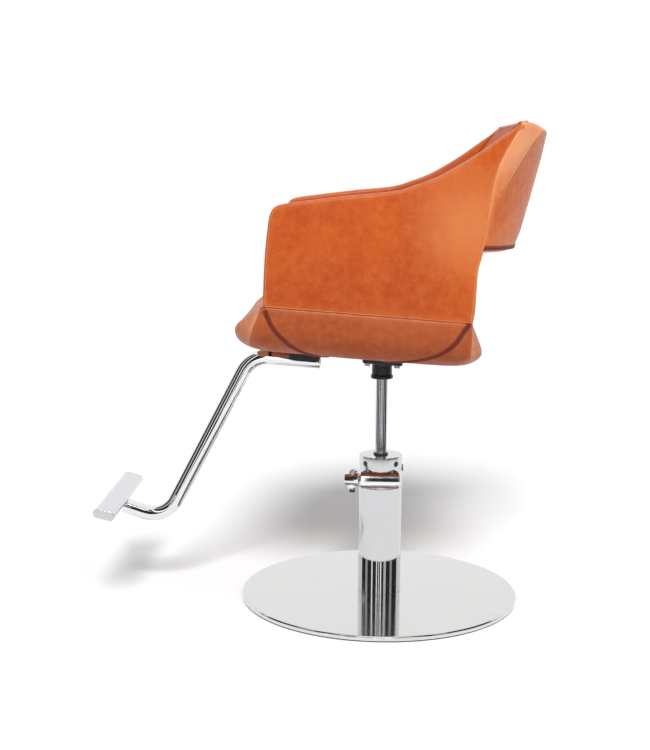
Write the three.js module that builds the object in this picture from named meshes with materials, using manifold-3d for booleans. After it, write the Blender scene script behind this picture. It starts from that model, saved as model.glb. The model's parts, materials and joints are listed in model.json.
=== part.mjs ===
// Styling chair: upholstered tub seat on a hydraulic pump, with a fixed T-bar footrest.
// Millimetres, +Z up. Origin: centre of the base plate's underside, on the floor.
// The sitter faces -Y, and the sitter's left hand is at +X.
import * as THREE from 'three';
import { mergeVertices } from 'three/addons/utils/BufferGeometryUtils.js';
import Module from 'manifold-3d';

const wasm = await Module();
wasm.setup();

// ---------------------------------------------------------------- dimensions
const GAP = 0.3;                 // clearance between pieces that touch
const BIG = 2000;                // longer than anything in the chair

const BASE = { r: 317.5, t: 12.5, edge: 3, crown: 0.5, bossR: 62, rimR: 288, recess: 7 };
const GASKET = { rIn: 296, rOut: 308, depth: 3 };
const COLUMN = { r: 49.5, wall: 2, top: 334.5, foot: 30, collarTop: 36 };
const BASE_SCREW = { pitchR: 34, shaftR: 5, headR: 8, headT: 8, len: 26 };
const HEAD = { bottom: 262, boreR: 14.6, bushR: 17, bushLow: 300, bushTop: 331 };
const HEAD_SCREW = { r: 5.5, len: 5, z: 319, angle: Math.PI / 4, slotR: 2.4, slotDepth: 3 };

const ROD = { r: 14, bottom: 228, top: 538 };
const BARREL = { rIn: 17.5, rOut: 21.5 };
const PISTON = { r: 17.2, bottom: 206, top: 224, grooveR: 14.5, grooveLow: 211, grooveTop: 217 };
const THRUST = { t: 3 };
const PISTON_SCREW = { shaftR: 4, headR: 8, headT: 6, reach: 18 };

const LEVER = {
  x: 44, z: 284,                 // shaft axis, parallel to Y
  housingR: 20, housingY: [-48, 44],
  shaftR: 8, shaftY: [-56, 40],
  armLen: 14, armR: 6, armHalfY: 7,
  collarY: [-82, -50], collarR: [13, 19.5],
  barR: 7, barY: -64, barLen: 205, gripR: 8.5, gripLen: 60, barTop: 12,
  droop: THREE.MathUtils.degToRad(9),          // the bar slopes down towards its grip
  bossR: 8.5, clampR: 3, clampHeadR: 7, clampHeadT: 6,
};
const PLUNGER = { r: 4.5, flangeR: 6.5, flangeT: 4, bottom: 212, guideR: 8, guide: [205, 254] };
const SPRING = { coilR: 5.7, wireR: 0.7, turns: 4 };

const TILT = THREE.MathUtils.degToRad(4);     // the seat leans back on its hub
const HUB = {
  top: 549,                      // height of the seat frame's origin
  neckR: 23, flareR: 25.5, neckBottom: 511.5,
  plateX: 82, plateY: 45, plateCorner: 14, plateLow: 5, plateTop: 14,
};
const SPACER = { x: 76, y: 40, corner: 10 };
const HUB_BOLT = { x: 62, y: 33, r: 4, headR: 7.5, headT: 5.5, washerR: 9.5, washerT: 1.6, top: 44 };

// Everything from here on is measured in the tilted seat frame.
const SEAT = {
  halfW: 280, armT: 52,
  underside: 24, boardLow: 30, boardTop: 48, boardHalfX: 198, boardY: [-250, 165],
  top: 150, noseHalfX: 264,
};
const UNDERSIDE = { inset: 30, y: [-240, 160], corner: 30, low: 23.7, top: 29.7 };
const BACK = { bottom: 275, lean: 0.182, rearY: 270, seamY: 181, seamX: 272, straightTo: 90 };
const STRAP = { y: [-170, 90], w: 34, t: 4, flatX: 200, kneeZ: 92, top: 150 };

// The plywood frames lie between two depths below the outer skin; their outlines are [y, z, radius].
const SIDE_FRAME = {
  inset: [14, 28],
  outline: [[-238, 80, 10], [-238, 318, 16], [-90, 358], [0, 376], [60, 408], [110, 440], [140, 466, 10],
    [156, 430, 20], [152, 80, 10]],
};
const BACK_FRAME = {
  inset: [28.6, 39.6], low: 292, top: 520, frontY: 60, frontRoom: 6,
  outline: [[96, 292], [330, 292], [345, 520], [262, 520, 20], [150, 440, 20], [96, 400, 10]],
  room: [[90, 291.7], [340, 291.7], [355, 520.3], [262, 520.3, 20], [149, 440.4, 20], [90, 404, 10]],
};
const SIDE_SCREW = { z: 122, r: 3.2, headR: 6, headT: 3.5, len: 15 };

const TUBE = { r: 17, wall: 2.5, bend: 62 };
const TUBE_PATH = [[-139.6, -10.4], [-298, -10.4], [-470.2, -410.4], [-570.5, -385.4]];
const BRACKET = { y: [-213, -141], halfX: 46, plateLow: 17, plateTop: 23.4, saddleHalfX: 24, saddleLow: -9 };
const BRACKET_BOLT = { x: 35, y: [-200, -154], r: 4, headR: 6.5, headT: 5, top: 44 };
const BAR = {
  y: -583, z: -363.6, pitch: THREE.MathUtils.degToRad(-10),
  halfX: 180, w: 48, h: 20, wall: 2, cap: 2.5,
};

// ---------------------------------------------------------------- solids
function trianglesOf(geometry) {
  const bare = geometry.clone();
  for (const name of Object.keys(bare.attributes)) {
    if (name !== 'position') bare.deleteAttribute(name);
  }
  const merged = mergeVertices(bare, 1e-4);
  const position = merged.attributes.position.array;
  const index = [];
  for (let i = 0; i < merged.index.count; i += 3) {
    const [a, b, c] = [0, 1, 2].map((k) => merged.index.getX(i + k));
    if (a !== b && b !== c && c !== a) index.push(a, b, c);
  }
  return { position, index };
}

function signedVolume(position, index) {
  const corner = (i) => new THREE.Vector3().fromArray(position, 3 * i);
  let volume = 0;
  for (let i = 0; i < index.length; i += 3) {
    volume += corner(index[i]).dot(corner(index[i + 1]).cross(corner(index[i + 2])));
  }
  return volume;
}

// A closed three.js geometry as a manifold solid, with its faces turned outwards.
function solid(geometry) {
  const { position, index } = trianglesOf(geometry);
  if (signedVolume(position, index) < 0) index.reverse();
  const mesh = new wasm.Mesh({
    numProp: 3, vertProperties: new Float32Array(position), triVerts: new Uint32Array(index),
  });
  return new wasm.Manifold(mesh);
}

function geometryOf(manifold) {
  const mesh = manifold.getMesh();
  const geometry = new THREE.BufferGeometry();
  geometry.setAttribute('position', new THREE.BufferAttribute(mesh.vertProperties, mesh.numProp));
  geometry.setIndex(new THREE.BufferAttribute(mesh.triVerts, 1));
  return geometry;
}

const union = (first, ...others) => others.reduce((sum, item) => sum.add(item), first);
const cut = (body, ...tools) => tools.reduce((rest, tool) => rest.subtract(tool), body);

// ---------------------------------------------------------------- shape helpers
const FULL_TURN = 2 * Math.PI;

function polygon(points) {
  return new THREE.Shape(points.map(([x, y]) => new THREE.Vector2(x, y)));
}

// Outline with chosen corners rounded: each point is [x, y] or [x, y, radius].
function rounded(points, steps = 5) {
  const out = [];
  points.forEach(([x, y, radius], i) => {
    const here = new THREE.Vector2(x, y);
    if (!radius) {
      out.push([x, y]);
      return;
    }
    const before = new THREE.Vector2(...points.at(i - 1).slice(0, 2)).sub(here);
    const after = new THREE.Vector2(...points[(i + 1) % points.length].slice(0, 2)).sub(here);
    const half = Math.abs(before.angleTo(after)) / 2;
    const reach = Math.min(radius / Math.tan(half), 0.49 * before.length(), 0.49 * after.length());
    const start = here.clone().addScaledVector(before.normalize(), reach);
    const end = here.clone().addScaledVector(after.normalize(), reach);
    const bend = new THREE.QuadraticBezierCurve(start, here, end);
    bend.getPoints(steps).forEach((point) => out.push([point.x, point.y]));
  });
  return polygon(out);
}

function extrudeZ(shape, low, high) {
  const geometry = new THREE.ExtrudeGeometry(shape, { depth: high - low, bevelEnabled: false });
  return geometry.translate(0, 0, low);
}

// The outline's x and y run along Y and Z, and the solid spans X.
function extrudeX(shape, low, high) {
  const turn = new THREE.Matrix4().makeBasis(
    new THREE.Vector3(0, 1, 0), new THREE.Vector3(0, 0, 1), new THREE.Vector3(1, 0, 0),
  );
  return extrudeZ(shape, low, high).applyMatrix4(turn);
}

// The outline's x and y run along X and Z, and the solid spans Y.
function extrudeY(shape, low, high) {
  return extrudeZ(shape, -high, -low).rotateX(Math.PI / 2);
}

// Solid of revolution about Z from [radius, height] points.
function lathe(profile, segments = 36) {
  const points = profile.map(([r, z]) => new THREE.Vector2(r, z));
  return new THREE.LatheGeometry(points, segments).rotateX(Math.PI / 2);
}

function rod(r, low, high, segments = 28) {
  return lathe([[0, low], [r, low], [r, high], [0, high]], segments);
}

function ring(rIn, rOut, low, high, segments = 36) {
  return lathe([[rIn, low], [rOut, low], [rOut, high], [rIn, high], [rIn, low]], segments);
}

function box(x, y, z) {
  const geometry = new THREE.BoxGeometry(x[1] - x[0], y[1] - y[0], z[1] - z[0]);
  return geometry.translate((x[0] + x[1]) / 2, (y[0] + y[1]) / 2, (z[0] + z[1]) / 2);
}

const alongY = (geometry) => geometry.rotateX(-Math.PI / 2);
const alongX = (geometry) => geometry.rotateY(Math.PI / 2);
const grown = (interval, by) => [interval[0] - by, interval[1] + by];

// ---------------------------------------------------------------- materials and groups
const material = (color, roughness, metalness) => new THREE.MeshStandardMaterial({ color, roughness, metalness });
const CHROME = material(0xdfe2e5, 0.08, 1);
const STEEL = material(0xc8cacc, 0.25, 1);
const DARK_STEEL = material(0x5c5e61, 0.45, 0.9);
const BLACK_CAST = material(0x17181a, 0.5, 0.6);
const RUBBER = material(0x151515, 0.85, 0);
const BRONZE = material(0x9a7440, 0.35, 0.9);
const PLYWOOD = material(0xc9a36b, 0.7, 0);
const LEATHER = material(0xc8632a, 0.45, 0);
const LEATHER_SEAT = material(0xcf7f56, 0.48, 0);

const chair = new THREE.Group();
const pump = new THREE.Group();
const seat = new THREE.Group();
seat.position.z = HUB.top;
seat.rotation.x = -TILT;
chair.add(pump, seat);

function place(group, name, shape, look) {
  const geometry = shape instanceof THREE.BufferGeometry ? geometryOf(solid(shape)) : geometryOf(shape);
  const mesh = new THREE.Mesh(geometry, look);
  mesh.name = name;
  group.add(mesh);
  return mesh;
}

// ---------------------------------------------------------------- base
function screwPlaces() {
  return [0, 1, 2, 3].map((i) => {
    const angle = Math.PI / 4 + i * Math.PI / 2;
    return [BASE_SCREW.pitchR * Math.cos(angle), BASE_SCREW.pitchR * Math.sin(angle)];
  });
}

function buildBase() {
  const { r, t, edge, crown } = BASE;
  const disc = lathe([[0, 0], [r - 1, 0], [r, 1], [r, t - edge - crown], [r - 0.3 * edge, t - 0.3 * edge - crown],
    [r - edge, t - crown], [r - 4 * edge, t], [0, t]], 72);
  const groove = ring(GASKET.rIn - GAP, GASKET.rOut + GAP, -1, GASKET.depth + GAP, 48);
  const recess = ring(BASE.bossR, BASE.rimR, -1, BASE.recess, 48);
  const holes = screwPlaces().flatMap(([x, y]) => [
    rod(BASE_SCREW.shaftR + GAP, -1, t + 1, 12).translate(x, y, 0),
    rod(BASE_SCREW.headR + GAP, -1, BASE_SCREW.headT + 2 * GAP, 12).translate(x, y, 0),
  ]);
  place(pump, 'base_plate', cut(solid(disc), solid(groove), solid(recess), ...holes.map(solid)), STEEL);
  place(pump, 'base_gasket', ring(GASKET.rIn, GASKET.rOut, 0, GASKET.depth, 48), RUBBER);

  screwPlaces().forEach(([x, y], i) => {
    const { shaftR, headR, headT, len } = BASE_SCREW;
    const low = GAP;
    const screw = lathe([[0, low], [headR, low], [headR, low + headT - GAP], [shaftR, low + headT - GAP],
      [shaftR, len], [0, len]], 12).translate(x, y, 0);
    const socket = new THREE.CylinderGeometry(4, 4, 6, 6).rotateX(Math.PI / 2).translate(x, y, low + 1);
    place(pump, `base_screw_${i + 1}`, cut(solid(screw), solid(socket)), DARK_STEEL);
  });
}

// ---------------------------------------------------------------- column and pump
function buildColumn() {
  const { r, wall, foot, collarTop } = COLUMN;
  const low = BASE.t + GAP;
  const inside = r - wall;
  const tapped = screwPlaces().map(([x, y]) => solid(rod(BASE_SCREW.shaftR + GAP, low - 1, BASE_SCREW.len + 1, 12)
    .translate(x, y, 0)));
  place(pump, 'column_foot', cut(solid(rod(inside - GAP, low, foot)), ...tapped), DARK_STEEL);
  place(pump, 'column_collar', ring(inside, r, low, collarTop), CHROME);
  place(pump, 'column_tube', ring(inside, r, collarTop + GAP, HEAD.bottom - GAP), CHROME);
  place(pump, 'pump_barrel', ring(BARREL.rIn, BARREL.rOut, foot + GAP, HEAD.bottom - GAP, 28), DARK_STEEL);
  place(pump, 'stop_sleeve', ring(ROD.r + GAP, BARREL.rIn - GAP, PISTON.top + GAP, HEAD.bottom - GAP, 28), BRONZE);
}

function leverHousingCut(extraR) {
  return alongY(rod(LEVER.housingR + extraR, ...grown(LEVER.housingY, extraR)))
    .translate(LEVER.x, 0, LEVER.z);
}

function armWindow(extra) {
  const { x, z, armLen, armR, armHalfY, shaftR } = LEVER;
  const xs = [x - armLen - armR - 2, x];
  const ys = [-armHalfY - 1, armHalfY + 1];
  return box(grown(xs, extra), grown(ys, extra), [HEAD.bottom - 2, z + shaftR]);
}

function headScrewPlaces() {
  return [-HEAD_SCREW.angle, HEAD_SCREW.angle];
}

function headScrew(angle, extra) {
  const { r, len, z } = HEAD_SCREW;
  return alongX(rod(r + extra, COLUMN.r - len - extra, COLUMN.r - 0.8 + 3 * extra, 12))
    .rotateZ(angle).translate(0, 0, z);
}

function buildHead() {
  const { bottom, boreR, bushR, bushLow, bushTop } = HEAD;
  const top = COLUMN.top;
  const body = lathe([[0, bottom], [COLUMN.r, bottom], [COLUMN.r, top - 1.5], [COLUMN.r - 1.5, top], [0, top]]);
  const bore = rod(boreR, bottom - 1, top + 1);
  const bushSeat = rod(bushR, bushLow - GAP, bushTop + GAP);
  const plungerWay = rod(PLUNGER.flangeR + 1, bottom - 1, LEVER.z).translate(LEVER.x - LEVER.armLen, 0, 0);
  const screwWays = headScrewPlaces().map((angle) => solid(headScrew(angle, GAP)));
  const tools = [bore, bushSeat, leverHousingCut(GAP), armWindow(0), plungerWay].map(solid);
  place(pump, 'pump_head', cut(solid(body), ...tools, ...screwWays), CHROME);
  headScrewPlaces().forEach((angle, i) => {
    const { slotR, slotDepth, z } = HEAD_SCREW;
    const slot = alongX(new THREE.CylinderGeometry(slotR, slotR, slotDepth, 6).rotateX(Math.PI / 2))
      .translate(COLUMN.r - 1, 0, 0).rotateZ(angle).translate(0, 0, z);
    place(pump, `head_screw_${i + 1}`, cut(solid(headScrew(angle, 0)), solid(slot)), DARK_STEEL);
  });
  place(pump, 'rod_bush', ring(ROD.r + 0.1, bushR - GAP, bushLow, bushTop, 28), BRONZE);
  place(pump, 'wiper_seal', lathe([[ROD.r + 0.15, top + GAP], [17, top + GAP], [17, top + 2.2], [15.4, top + 3.8],
    [ROD.r + 0.15, top + 3.8], [ROD.r + 0.15, top + GAP]], 28), RUBBER);
}

function buildLift() {
  const { r, bottom, top, grooveR, grooveLow, grooveTop } = PISTON;
  const { shaftR, headR, headT, reach } = PISTON_SCREW;
  const hole = shaftR + GAP;
  place(pump, 'piston', lathe([[hole, bottom], [r, bottom], [r, grooveLow], [grooveR, grooveLow],
    [grooveR, grooveTop], [r, grooveTop], [r, top], [hole, top], [hole, bottom]], 28), DARK_STEEL);
  place(pump, 'piston_seal', ring(grooveR + 0.1, r + 0.15, grooveLow + 0.2, grooveTop - 0.2, 28), RUBBER);
  place(pump, 'thrust_washer', ring(shaftR + GAP, ROD.r - 0.2, top + GAP, top + GAP + THRUST.t, 28), BRONZE);
  place(pump, 'piston_screw', lathe([[0, bottom - GAP - headT], [headR, bottom - GAP - headT], [headR, bottom - GAP],
    [shaftR, bottom - GAP], [shaftR, ROD.bottom + reach], [0, ROD.bottom + reach]], 12), DARK_STEEL);
  const rodHole = rod(shaftR + GAP, ROD.bottom - 1, ROD.bottom + reach + GAP, 12);
  place(pump, 'piston_rod', cut(solid(rod(ROD.r, ROD.bottom, ROD.top)), solid(rodHole)), CHROME);
}

// ---------------------------------------------------------------- pump lever
function buildLever() {
  const { x, z, shaftR, shaftY, armLen, armR, armHalfY } = LEVER;
  const onAxis = (geometry) => geometry.translate(x, 0, z);
  const shaftAt = (r, span) => onAxis(alongY(rod(r, ...span, 24)));

  const housingBore = shaftAt(shaftR + GAP, [-BIG, BIG]);
  place(pump, 'lever_housing', cut(solid(leverHousingCut(0)), solid(housingBore), solid(armWindow(1))), CHROME);

  const arm = onAxis(box([-armLen, 0], [-armHalfY, armHalfY], [-armR, armR]));
  const armTip = onAxis(alongY(rod(armR, -armHalfY, armHalfY, 12)).translate(-armLen, 0, 0));
  const shaft = union(solid(shaftAt(shaftR, shaftY)), solid(arm), solid(armTip));
  place(pump, 'cam_shaft', shaft, DARK_STEEL);

  const { collarY, collarR, barR, barY, barLen, barTop, gripR, gripLen, droop } = LEVER;
  const onBar = (geometry) => geometry.rotateY(-droop).translate(x, barY, z);
  const barWay = (extra) => onBar(alongX(rod(barR + extra, -barLen, barTop + extra, 24)));
  const { bossR, clampR, clampHeadR, clampHeadT } = LEVER;
  const clampWay = rod(clampR + GAP, z - 40, z + 40, 12).translate(x, barY, 0);
  const taper = lathe([[0, collarY[0]], [collarR[0] - 1.5, collarY[0]], [collarR[0], collarY[0] + 1.5],
    [collarR[1], collarY[1]], [0, collarY[1]]], 28);
  const bossLow = -collarR[1] - 3;
  const bossTop = collarR[1] + 2;
  const boss = rod(bossR, bossLow, bossTop, 20).translate(x, barY, z);
  const collar = union(solid(onAxis(alongY(taper))), solid(boss));
  const shaftWay = shaftAt(shaftR + GAP, [shaftY[0] - GAP, 0]);
  place(pump, 'lever_collar', cut(collar, solid(shaftWay), solid(barWay(GAP)), solid(clampWay)), CHROME);

  place(pump, 'lever_bar', cut(solid(barWay(0)), solid(clampWay)), CHROME);
  const grip = onBar(alongX(rod(gripR, -barLen - 5, -barLen + gripLen, 24)));
  place(pump, 'lever_grip', cut(solid(grip), solid(barWay(GAP))), RUBBER);
  const headLow = bossLow - GAP - clampHeadT;
  const bolt = lathe([[0, headLow], [clampHeadR, headLow], [clampHeadR, bossLow - GAP], [clampR, bossLow - GAP],
    [clampR, bossTop + 1], [0, bossTop + 1]], 12);
  place(pump, 'lever_clamp_bolt', bolt.translate(x, barY, z), DARK_STEEL);
}

function buildPlunger() {
  const x = LEVER.x - LEVER.armLen;
  const top = LEVER.z - LEVER.armR - GAP;
  const { r, flangeR, flangeT, bottom, guideR, guide } = PLUNGER;
  place(pump, 'plunger', lathe([[0, bottom], [r, bottom], [r, top - flangeT], [flangeR, top - flangeT],
    [flangeR, top], [0, top]], 24).translate(x, 0, 0), STEEL);
  place(pump, 'plunger_guide', ring(r + 0.1, guideR, ...guide, 24).translate(x, 0, 0), BRONZE);
  const low = guide[1] + GAP + SPRING.wireR;
  const high = top - flangeT - GAP - SPRING.wireR;
  class Helix extends THREE.Curve {
    getPoint(t, target = new THREE.Vector3()) {
      const angle = FULL_TURN * SPRING.turns * t;
      return target.set(x + SPRING.coilR * Math.cos(angle), SPRING.coilR * Math.sin(angle), low + (high - low) * t);
    }
  }
  const wire = new THREE.Shape().absarc(0, 0, SPRING.wireR, 0, FULL_TURN);
  const coil = new THREE.ExtrudeGeometry(wire, { steps: 40, curveSegments: 3, extrudePath: new Helix() });
  place(pump, 'plunger_spring', coil, STEEL);
}

// ---------------------------------------------------------------- hub under the seat
function corners(x, y) {
  return [[-x, -y], [x, -y], [x, y], [-x, y]];
}

function boltWay([x, y]) {
  return solid(rod(HUB_BOLT.r + GAP, -BIG, BIG, 12).translate(x, y, 0));
}

function buildHub() {
  const { neckR, flareR, neckBottom, plateX, plateY, plateCorner, plateLow, plateTop } = HUB;
  const drop = HUB.top - neckBottom;
  const upright = (geometry) => geometry.rotateX(TILT);
  const neck = upright(lathe([[0, -drop], [flareR, -drop], [flareR, -drop + 5], [neckR, -drop + 10],
    [neckR, plateLow - 6], [neckR + 6, plateLow + 3], [0, plateLow + 3]]));
  const outline = corners(plateX, plateY).map(([x, y]) => [x, y, plateCorner]);
  const plate = extrudeZ(rounded(outline), plateLow, plateTop);
  const socket = upright(rod(ROD.r + GAP, -drop - 1, ROD.top - HUB.top + GAP));
  const holes = corners(HUB_BOLT.x, HUB_BOLT.y).map(boltWay);
  place(seat, 'seat_hub', cut(union(solid(neck), solid(plate)), solid(socket), ...holes), BLACK_CAST);

  const packing = corners(SPACER.x, SPACER.y).map(([x, y]) => [x, y, SPACER.corner]);
  const packer = extrudeZ(rounded(packing), plateTop + GAP, SEAT.boardLow - GAP);
  place(seat, 'seat_spacer', cut(solid(packer), ...holes), PLYWOOD);

  corners(HUB_BOLT.x, HUB_BOLT.y).forEach(([x, y], i) => {
    const { r, headR, headT, washerR, washerT, top } = HUB_BOLT;
    const under = plateLow - GAP;
    const shank = lathe([[0, under - washerT], [washerR, under - washerT], [washerR, under], [r, under],
      [r, top], [0, top]], 12);
    const head = new THREE.CylinderGeometry(headR, headR, headT + 0.2, 6).rotateX(Math.PI / 2)
      .translate(0, 0, under - washerT - headT / 2 + 0.1);
    place(seat, `hub_bolt_${i + 1}`, union(solid(shank), solid(head)).translate([x, y, 0]), STEEL);
  });
}

// ---------------------------------------------------------------- tub shell outlines
// Plan of the tub at a depth below its outer skin: straight arms, then a shallow curve across the back.
function planCurve(depth) {
  const { straightTo, seamX, seamY, rearY } = BACK;
  const side = SEAT.halfW - depth;
  const turn = new THREE.Vector2(seamX - depth, seamY - 0.6 * depth);
  const arm = new THREE.QuadraticBezierCurve(new THREE.Vector2(side, straightTo),
    new THREE.Vector2(side, (straightTo + turn.y) / 2), turn).getPoints(4);
  const sag = rearY - depth - turn.y;
  const radius = (turn.x ** 2 + sag ** 2) / (2 * sag);
  const half = Math.asin(turn.x / radius);
  const arc = [];
  for (let i = 1; i <= 20; i += 1) {
    const angle = half * (1 - i / 10);
    arc.push([radius * Math.sin(angle), rearY - depth - radius * (1 - Math.cos(angle))]);
  }
  const right = arm.map((point) => [point.x, point.y]);
  const left = right.slice(0, -1).reverse().map(([x, y]) => [-x, y]);
  return [...right, ...arc, ...left];
}

// A U-shaped wall between two depths, from frontY back, leaning back above the gap under the backrest.
function tubWall([outer, inner], frontY, low, high) {
  const out = planCurve(outer);
  const inn = planCurve(inner).reverse();
  const wall = [[out[0][0], frontY], ...out, [out.at(-1)[0], frontY], [inn[0][0], frontY], ...inn,
    [inn.at(-1)[0], frontY]];
  const geometry = extrudeZ(polygon(wall), 0, high - low);
  const lean = new THREE.Matrix4().set(1, 0, 0, 0, 0, 1, BACK.lean, 0, 0, 0, 1, 0, 0, 0, 0, 1);
  if (low >= BACK.bottom) geometry.applyMatrix4(lean).translate(0, BACK.lean * (low - BACK.bottom), 0);
  return solid(geometry.translate(0, 0, low));
}

// Side outlines, as [y, z] in the seat frame.
const ARM_TOP = [[-260, 330, 22], [-246, 346, 14], [-198, 359], [-98, 380], [-8, 398], [40, 420], [80, 441],
  [117, 467], [155, 494], [173, 512], [236, 548]];
const REAR_SEAM = [[236, 548], [198, 459], [186, 378], [181, BACK.bottom + 10]];
const ARM_LOW = [[174, 246], [174, 133], [185, 118], [198, 90], [203, 64, 8], [194, 42, 10], [180, 30, 8],
  [-276, 28, 10], [-292, 38, 8], [-277, 78], [-264, 116], [-260, 140]];

function armOutline() {
  return rounded([...ARM_TOP, ...REAR_SEAM.slice(1), ...ARM_LOW]);
}

function backOutline() {
  const seamRear = REAR_SEAM.map(([y, z]) => [y + 1, z]);
  return rounded([...seamRear, [182, BACK.bottom], [330, BACK.bottom], [345, 500], [322, 532, 16], [250, 557, 10]]);
}

// Front view of the underside: flat in the middle, turning up into the side panels.
function hullOutline(halfX, low) {
  const turn = [[0.56, 0], [0.72, 5], [0.86, 22], [0.95, 50], [0.99, 84], [1, 124], [1, 700]];
  const right = turn.map(([x, z]) => [x * halfX, low + z]);
  const left = right.slice().reverse().map(([x, z]) => [-x, z]);
  return polygon([...right, ...left]);
}

const mirrored = (body, side) => (side < 0 ? body.mirror([1, 0, 0]) : body);
const SIDES = [['left', 1], ['right', -1]];

function boardSolid(by) {
  const x = SEAT.boardHalfX + by;
  return solid(box([-x, x], grown(SEAT.boardY, by), grown([SEAT.boardLow, SEAT.boardTop], by)));
}

function sideFrame(side, by) {
  const [outDepth, inDepth] = SIDE_FRAME.inset;
  const span = [SEAT.halfW - inDepth - by, SEAT.halfW - outDepth + by];
  return mirrored(solid(extrudeX(rounded(SIDE_FRAME.outline), ...span)), side);
}

function backFrame() {
  const { inset, frontY, low, top, outline } = BACK_FRAME;
  return tubWall(inset, frontY, low, top).intersect(solid(extrudeX(rounded(outline), -BIG, BIG)));
}

function backFrameRoom() {
  const { inset, frontY, frontRoom, low, top, room } = BACK_FRAME;
  const wall = tubWall([inset[0] - GAP, inset[1] + GAP], frontY - frontRoom - GAP, low - GAP, top + GAP);
  return wall.intersect(solid(extrudeX(rounded(room), -BIG, BIG)));
}

// Bent straps lie on the board, turn up inside the arms and hold the side frames.
const STRAP_FACE = SEAT.halfW - SIDE_FRAME.inset[1] - GAP;

function strap(y, by) {
  const low = SEAT.boardTop + GAP;
  const right = [[STRAP.flatX, low - by], [STRAP_FACE + by, STRAP.kneeZ], [STRAP_FACE + by, STRAP.top + by],
    [STRAP_FACE - STRAP.t - by, STRAP.top + by], [STRAP_FACE - STRAP.t - by, STRAP.kneeZ + 2],
    [STRAP.flatX - 2, low + STRAP.t + by]];
  const outline = polygon([...right, ...right.slice().reverse().map(([x, z]) => [-x, z])]);
  return solid(extrudeY(outline, y - STRAP.w / 2 - by, y + STRAP.w / 2 + by));
}

function sideScrews(side, extra) {
  const { r, headR, headT, len, z } = SIDE_SCREW;
  const face = STRAP_FACE - STRAP.t - GAP;
  const profile = [[0, face - headT - extra], [headR + extra, face - headT - extra], [headR + extra, face],
    [r + extra, face], [r + extra, face + len + extra], [0, face + len + extra]];
  return STRAP.y.map((y) => mirrored(solid(alongX(lathe(profile, 12)).translate(0, y, z)), side));
}

function buildTub() {
  const inner = SEAT.halfW - SEAT.armT;
  const hull = solid(extrudeY(hullOutline(SEAT.halfW, SEAT.underside), -BIG, BIG));
  const seatSpace = solid(box([-inner, inner], [-BIG, BIG], [-BIG, BIG]));
  const walls = tubWall([0, 2 * SEAT.armT], -BIG, -100, BACK.bottom).subtract(seatSpace);
  const leaning = tubWall([0, SEAT.armT], -BIG, BACK.bottom, 600);

  const boltWays = [...corners(HUB_BOLT.x, HUB_BOLT.y), ...bracketBolts()].map(boltWay);
  place(seat, 'back_frame', backFrame(), PLYWOOD);
  place(seat, 'seat_board', cut(boardSolid(0), ...boltWays), PLYWOOD);
  const allScrewWays = SIDES.flatMap(([, side]) => sideScrews(side, GAP));
  STRAP.y.forEach((y, i) => {
    place(seat, ['front_strap', 'rear_strap'][i], cut(strap(y, 0), ...allScrewWays), DARK_STEEL);
  });

  const boardWay = boardSolid(GAP);
  const strapRooms = STRAP.y.map((y) => strap(y, GAP));
  const bandRoom = backFrameRoom();
  const armBlank = walls.add(leaning).intersect(solid(extrudeX(armOutline(), -BIG, BIG))).intersect(hull);
  SIDES.forEach(([name, side]) => {
    const half = mirrored(solid(box([inner - 60, BIG], [-BIG, BIG], [-BIG, BIG])), side);
    const pad = cut(armBlank.intersect(half), sideFrame(side, GAP), bandRoom, boardWay, ...strapRooms,
      ...sideScrews(side, GAP));
    place(seat, `arm_pad_${name}`, pad, LEATHER);
    place(seat, `side_frame_${name}`, cut(sideFrame(side, 0), ...sideScrews(side, GAP)), PLYWOOD);
    sideScrews(side, 0).forEach((screw, i) => place(seat, `side_screw_${name}_${i + 1}`, screw, DARK_STEEL));
  });

  const backBlank = leaning.intersect(solid(extrudeX(backOutline(), -BIG, BIG)));
  place(seat, 'backrest_pad', backBlank.subtract(bandRoom), LEATHER);

  // seat cushion, with its nose carried across in front of the arms
  const top = SEAT.top;
  const nose = [[-240, top - 3], [-275, 130, 22], [-307, 104, 30], [-319, 66, 30], [-312, 42, 18], [-288, 28, 14]];
  const middle = rounded([[170, 30], [194, 40, 10], [202, 62, 12], [190, 100, 20], [172, top - 6, 14], [60, top + 2],
    [-120, top + 4], ...nose, [-258, 27], [-255, SEAT.boardTop + GAP], [170, SEAT.boardTop + GAP]]);
  const noseOutline = rounded([[-264, 130, 8], ...nose.slice(1), [-294, 34], [-279, 78], [-267, 116]]);
  const noseHull = solid(extrudeY(hullOutline(SEAT.noseHalfX, SEAT.underside), -BIG, BIG));
  const noseBlank = solid(extrudeX(noseOutline, -SEAT.noseHalfX, SEAT.noseHalfX)).intersect(noseHull);
  const cushion = solid(extrudeX(middle, -inner + 1, inner - 1)).add(noseBlank).intersect(hull);
  place(seat, 'seat_cushion', cut(cushion, boardWay, ...strapRooms), LEATHER_SEAT);

  const { inset, y, corner, low, top: skinTop } = UNDERSIDE;
  const x = inner - inset;
  const outline = [[-x, y[0], corner], [x, y[0], corner], [x, y[1], corner], [-x, y[1], corner]];
  const spacerWay = solid(box(grown([-SPACER.x, SPACER.x], 2 * GAP), grown([-SPACER.y, SPACER.y], 2 * GAP), [0, 40]));
  const skin = cut(solid(extrudeZ(rounded(outline), low, skinTop)), spacerWay, ...boltWays);
  place(seat, 'underside_panel', skin, LEATHER_SEAT);
}

// ---------------------------------------------------------------- footrest
function bracketBolts() {
  const { x, y } = BRACKET_BOLT;
  return [[x, y[0]], [x, y[1]], [-x, y[0]], [-x, y[1]]];
}

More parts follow.
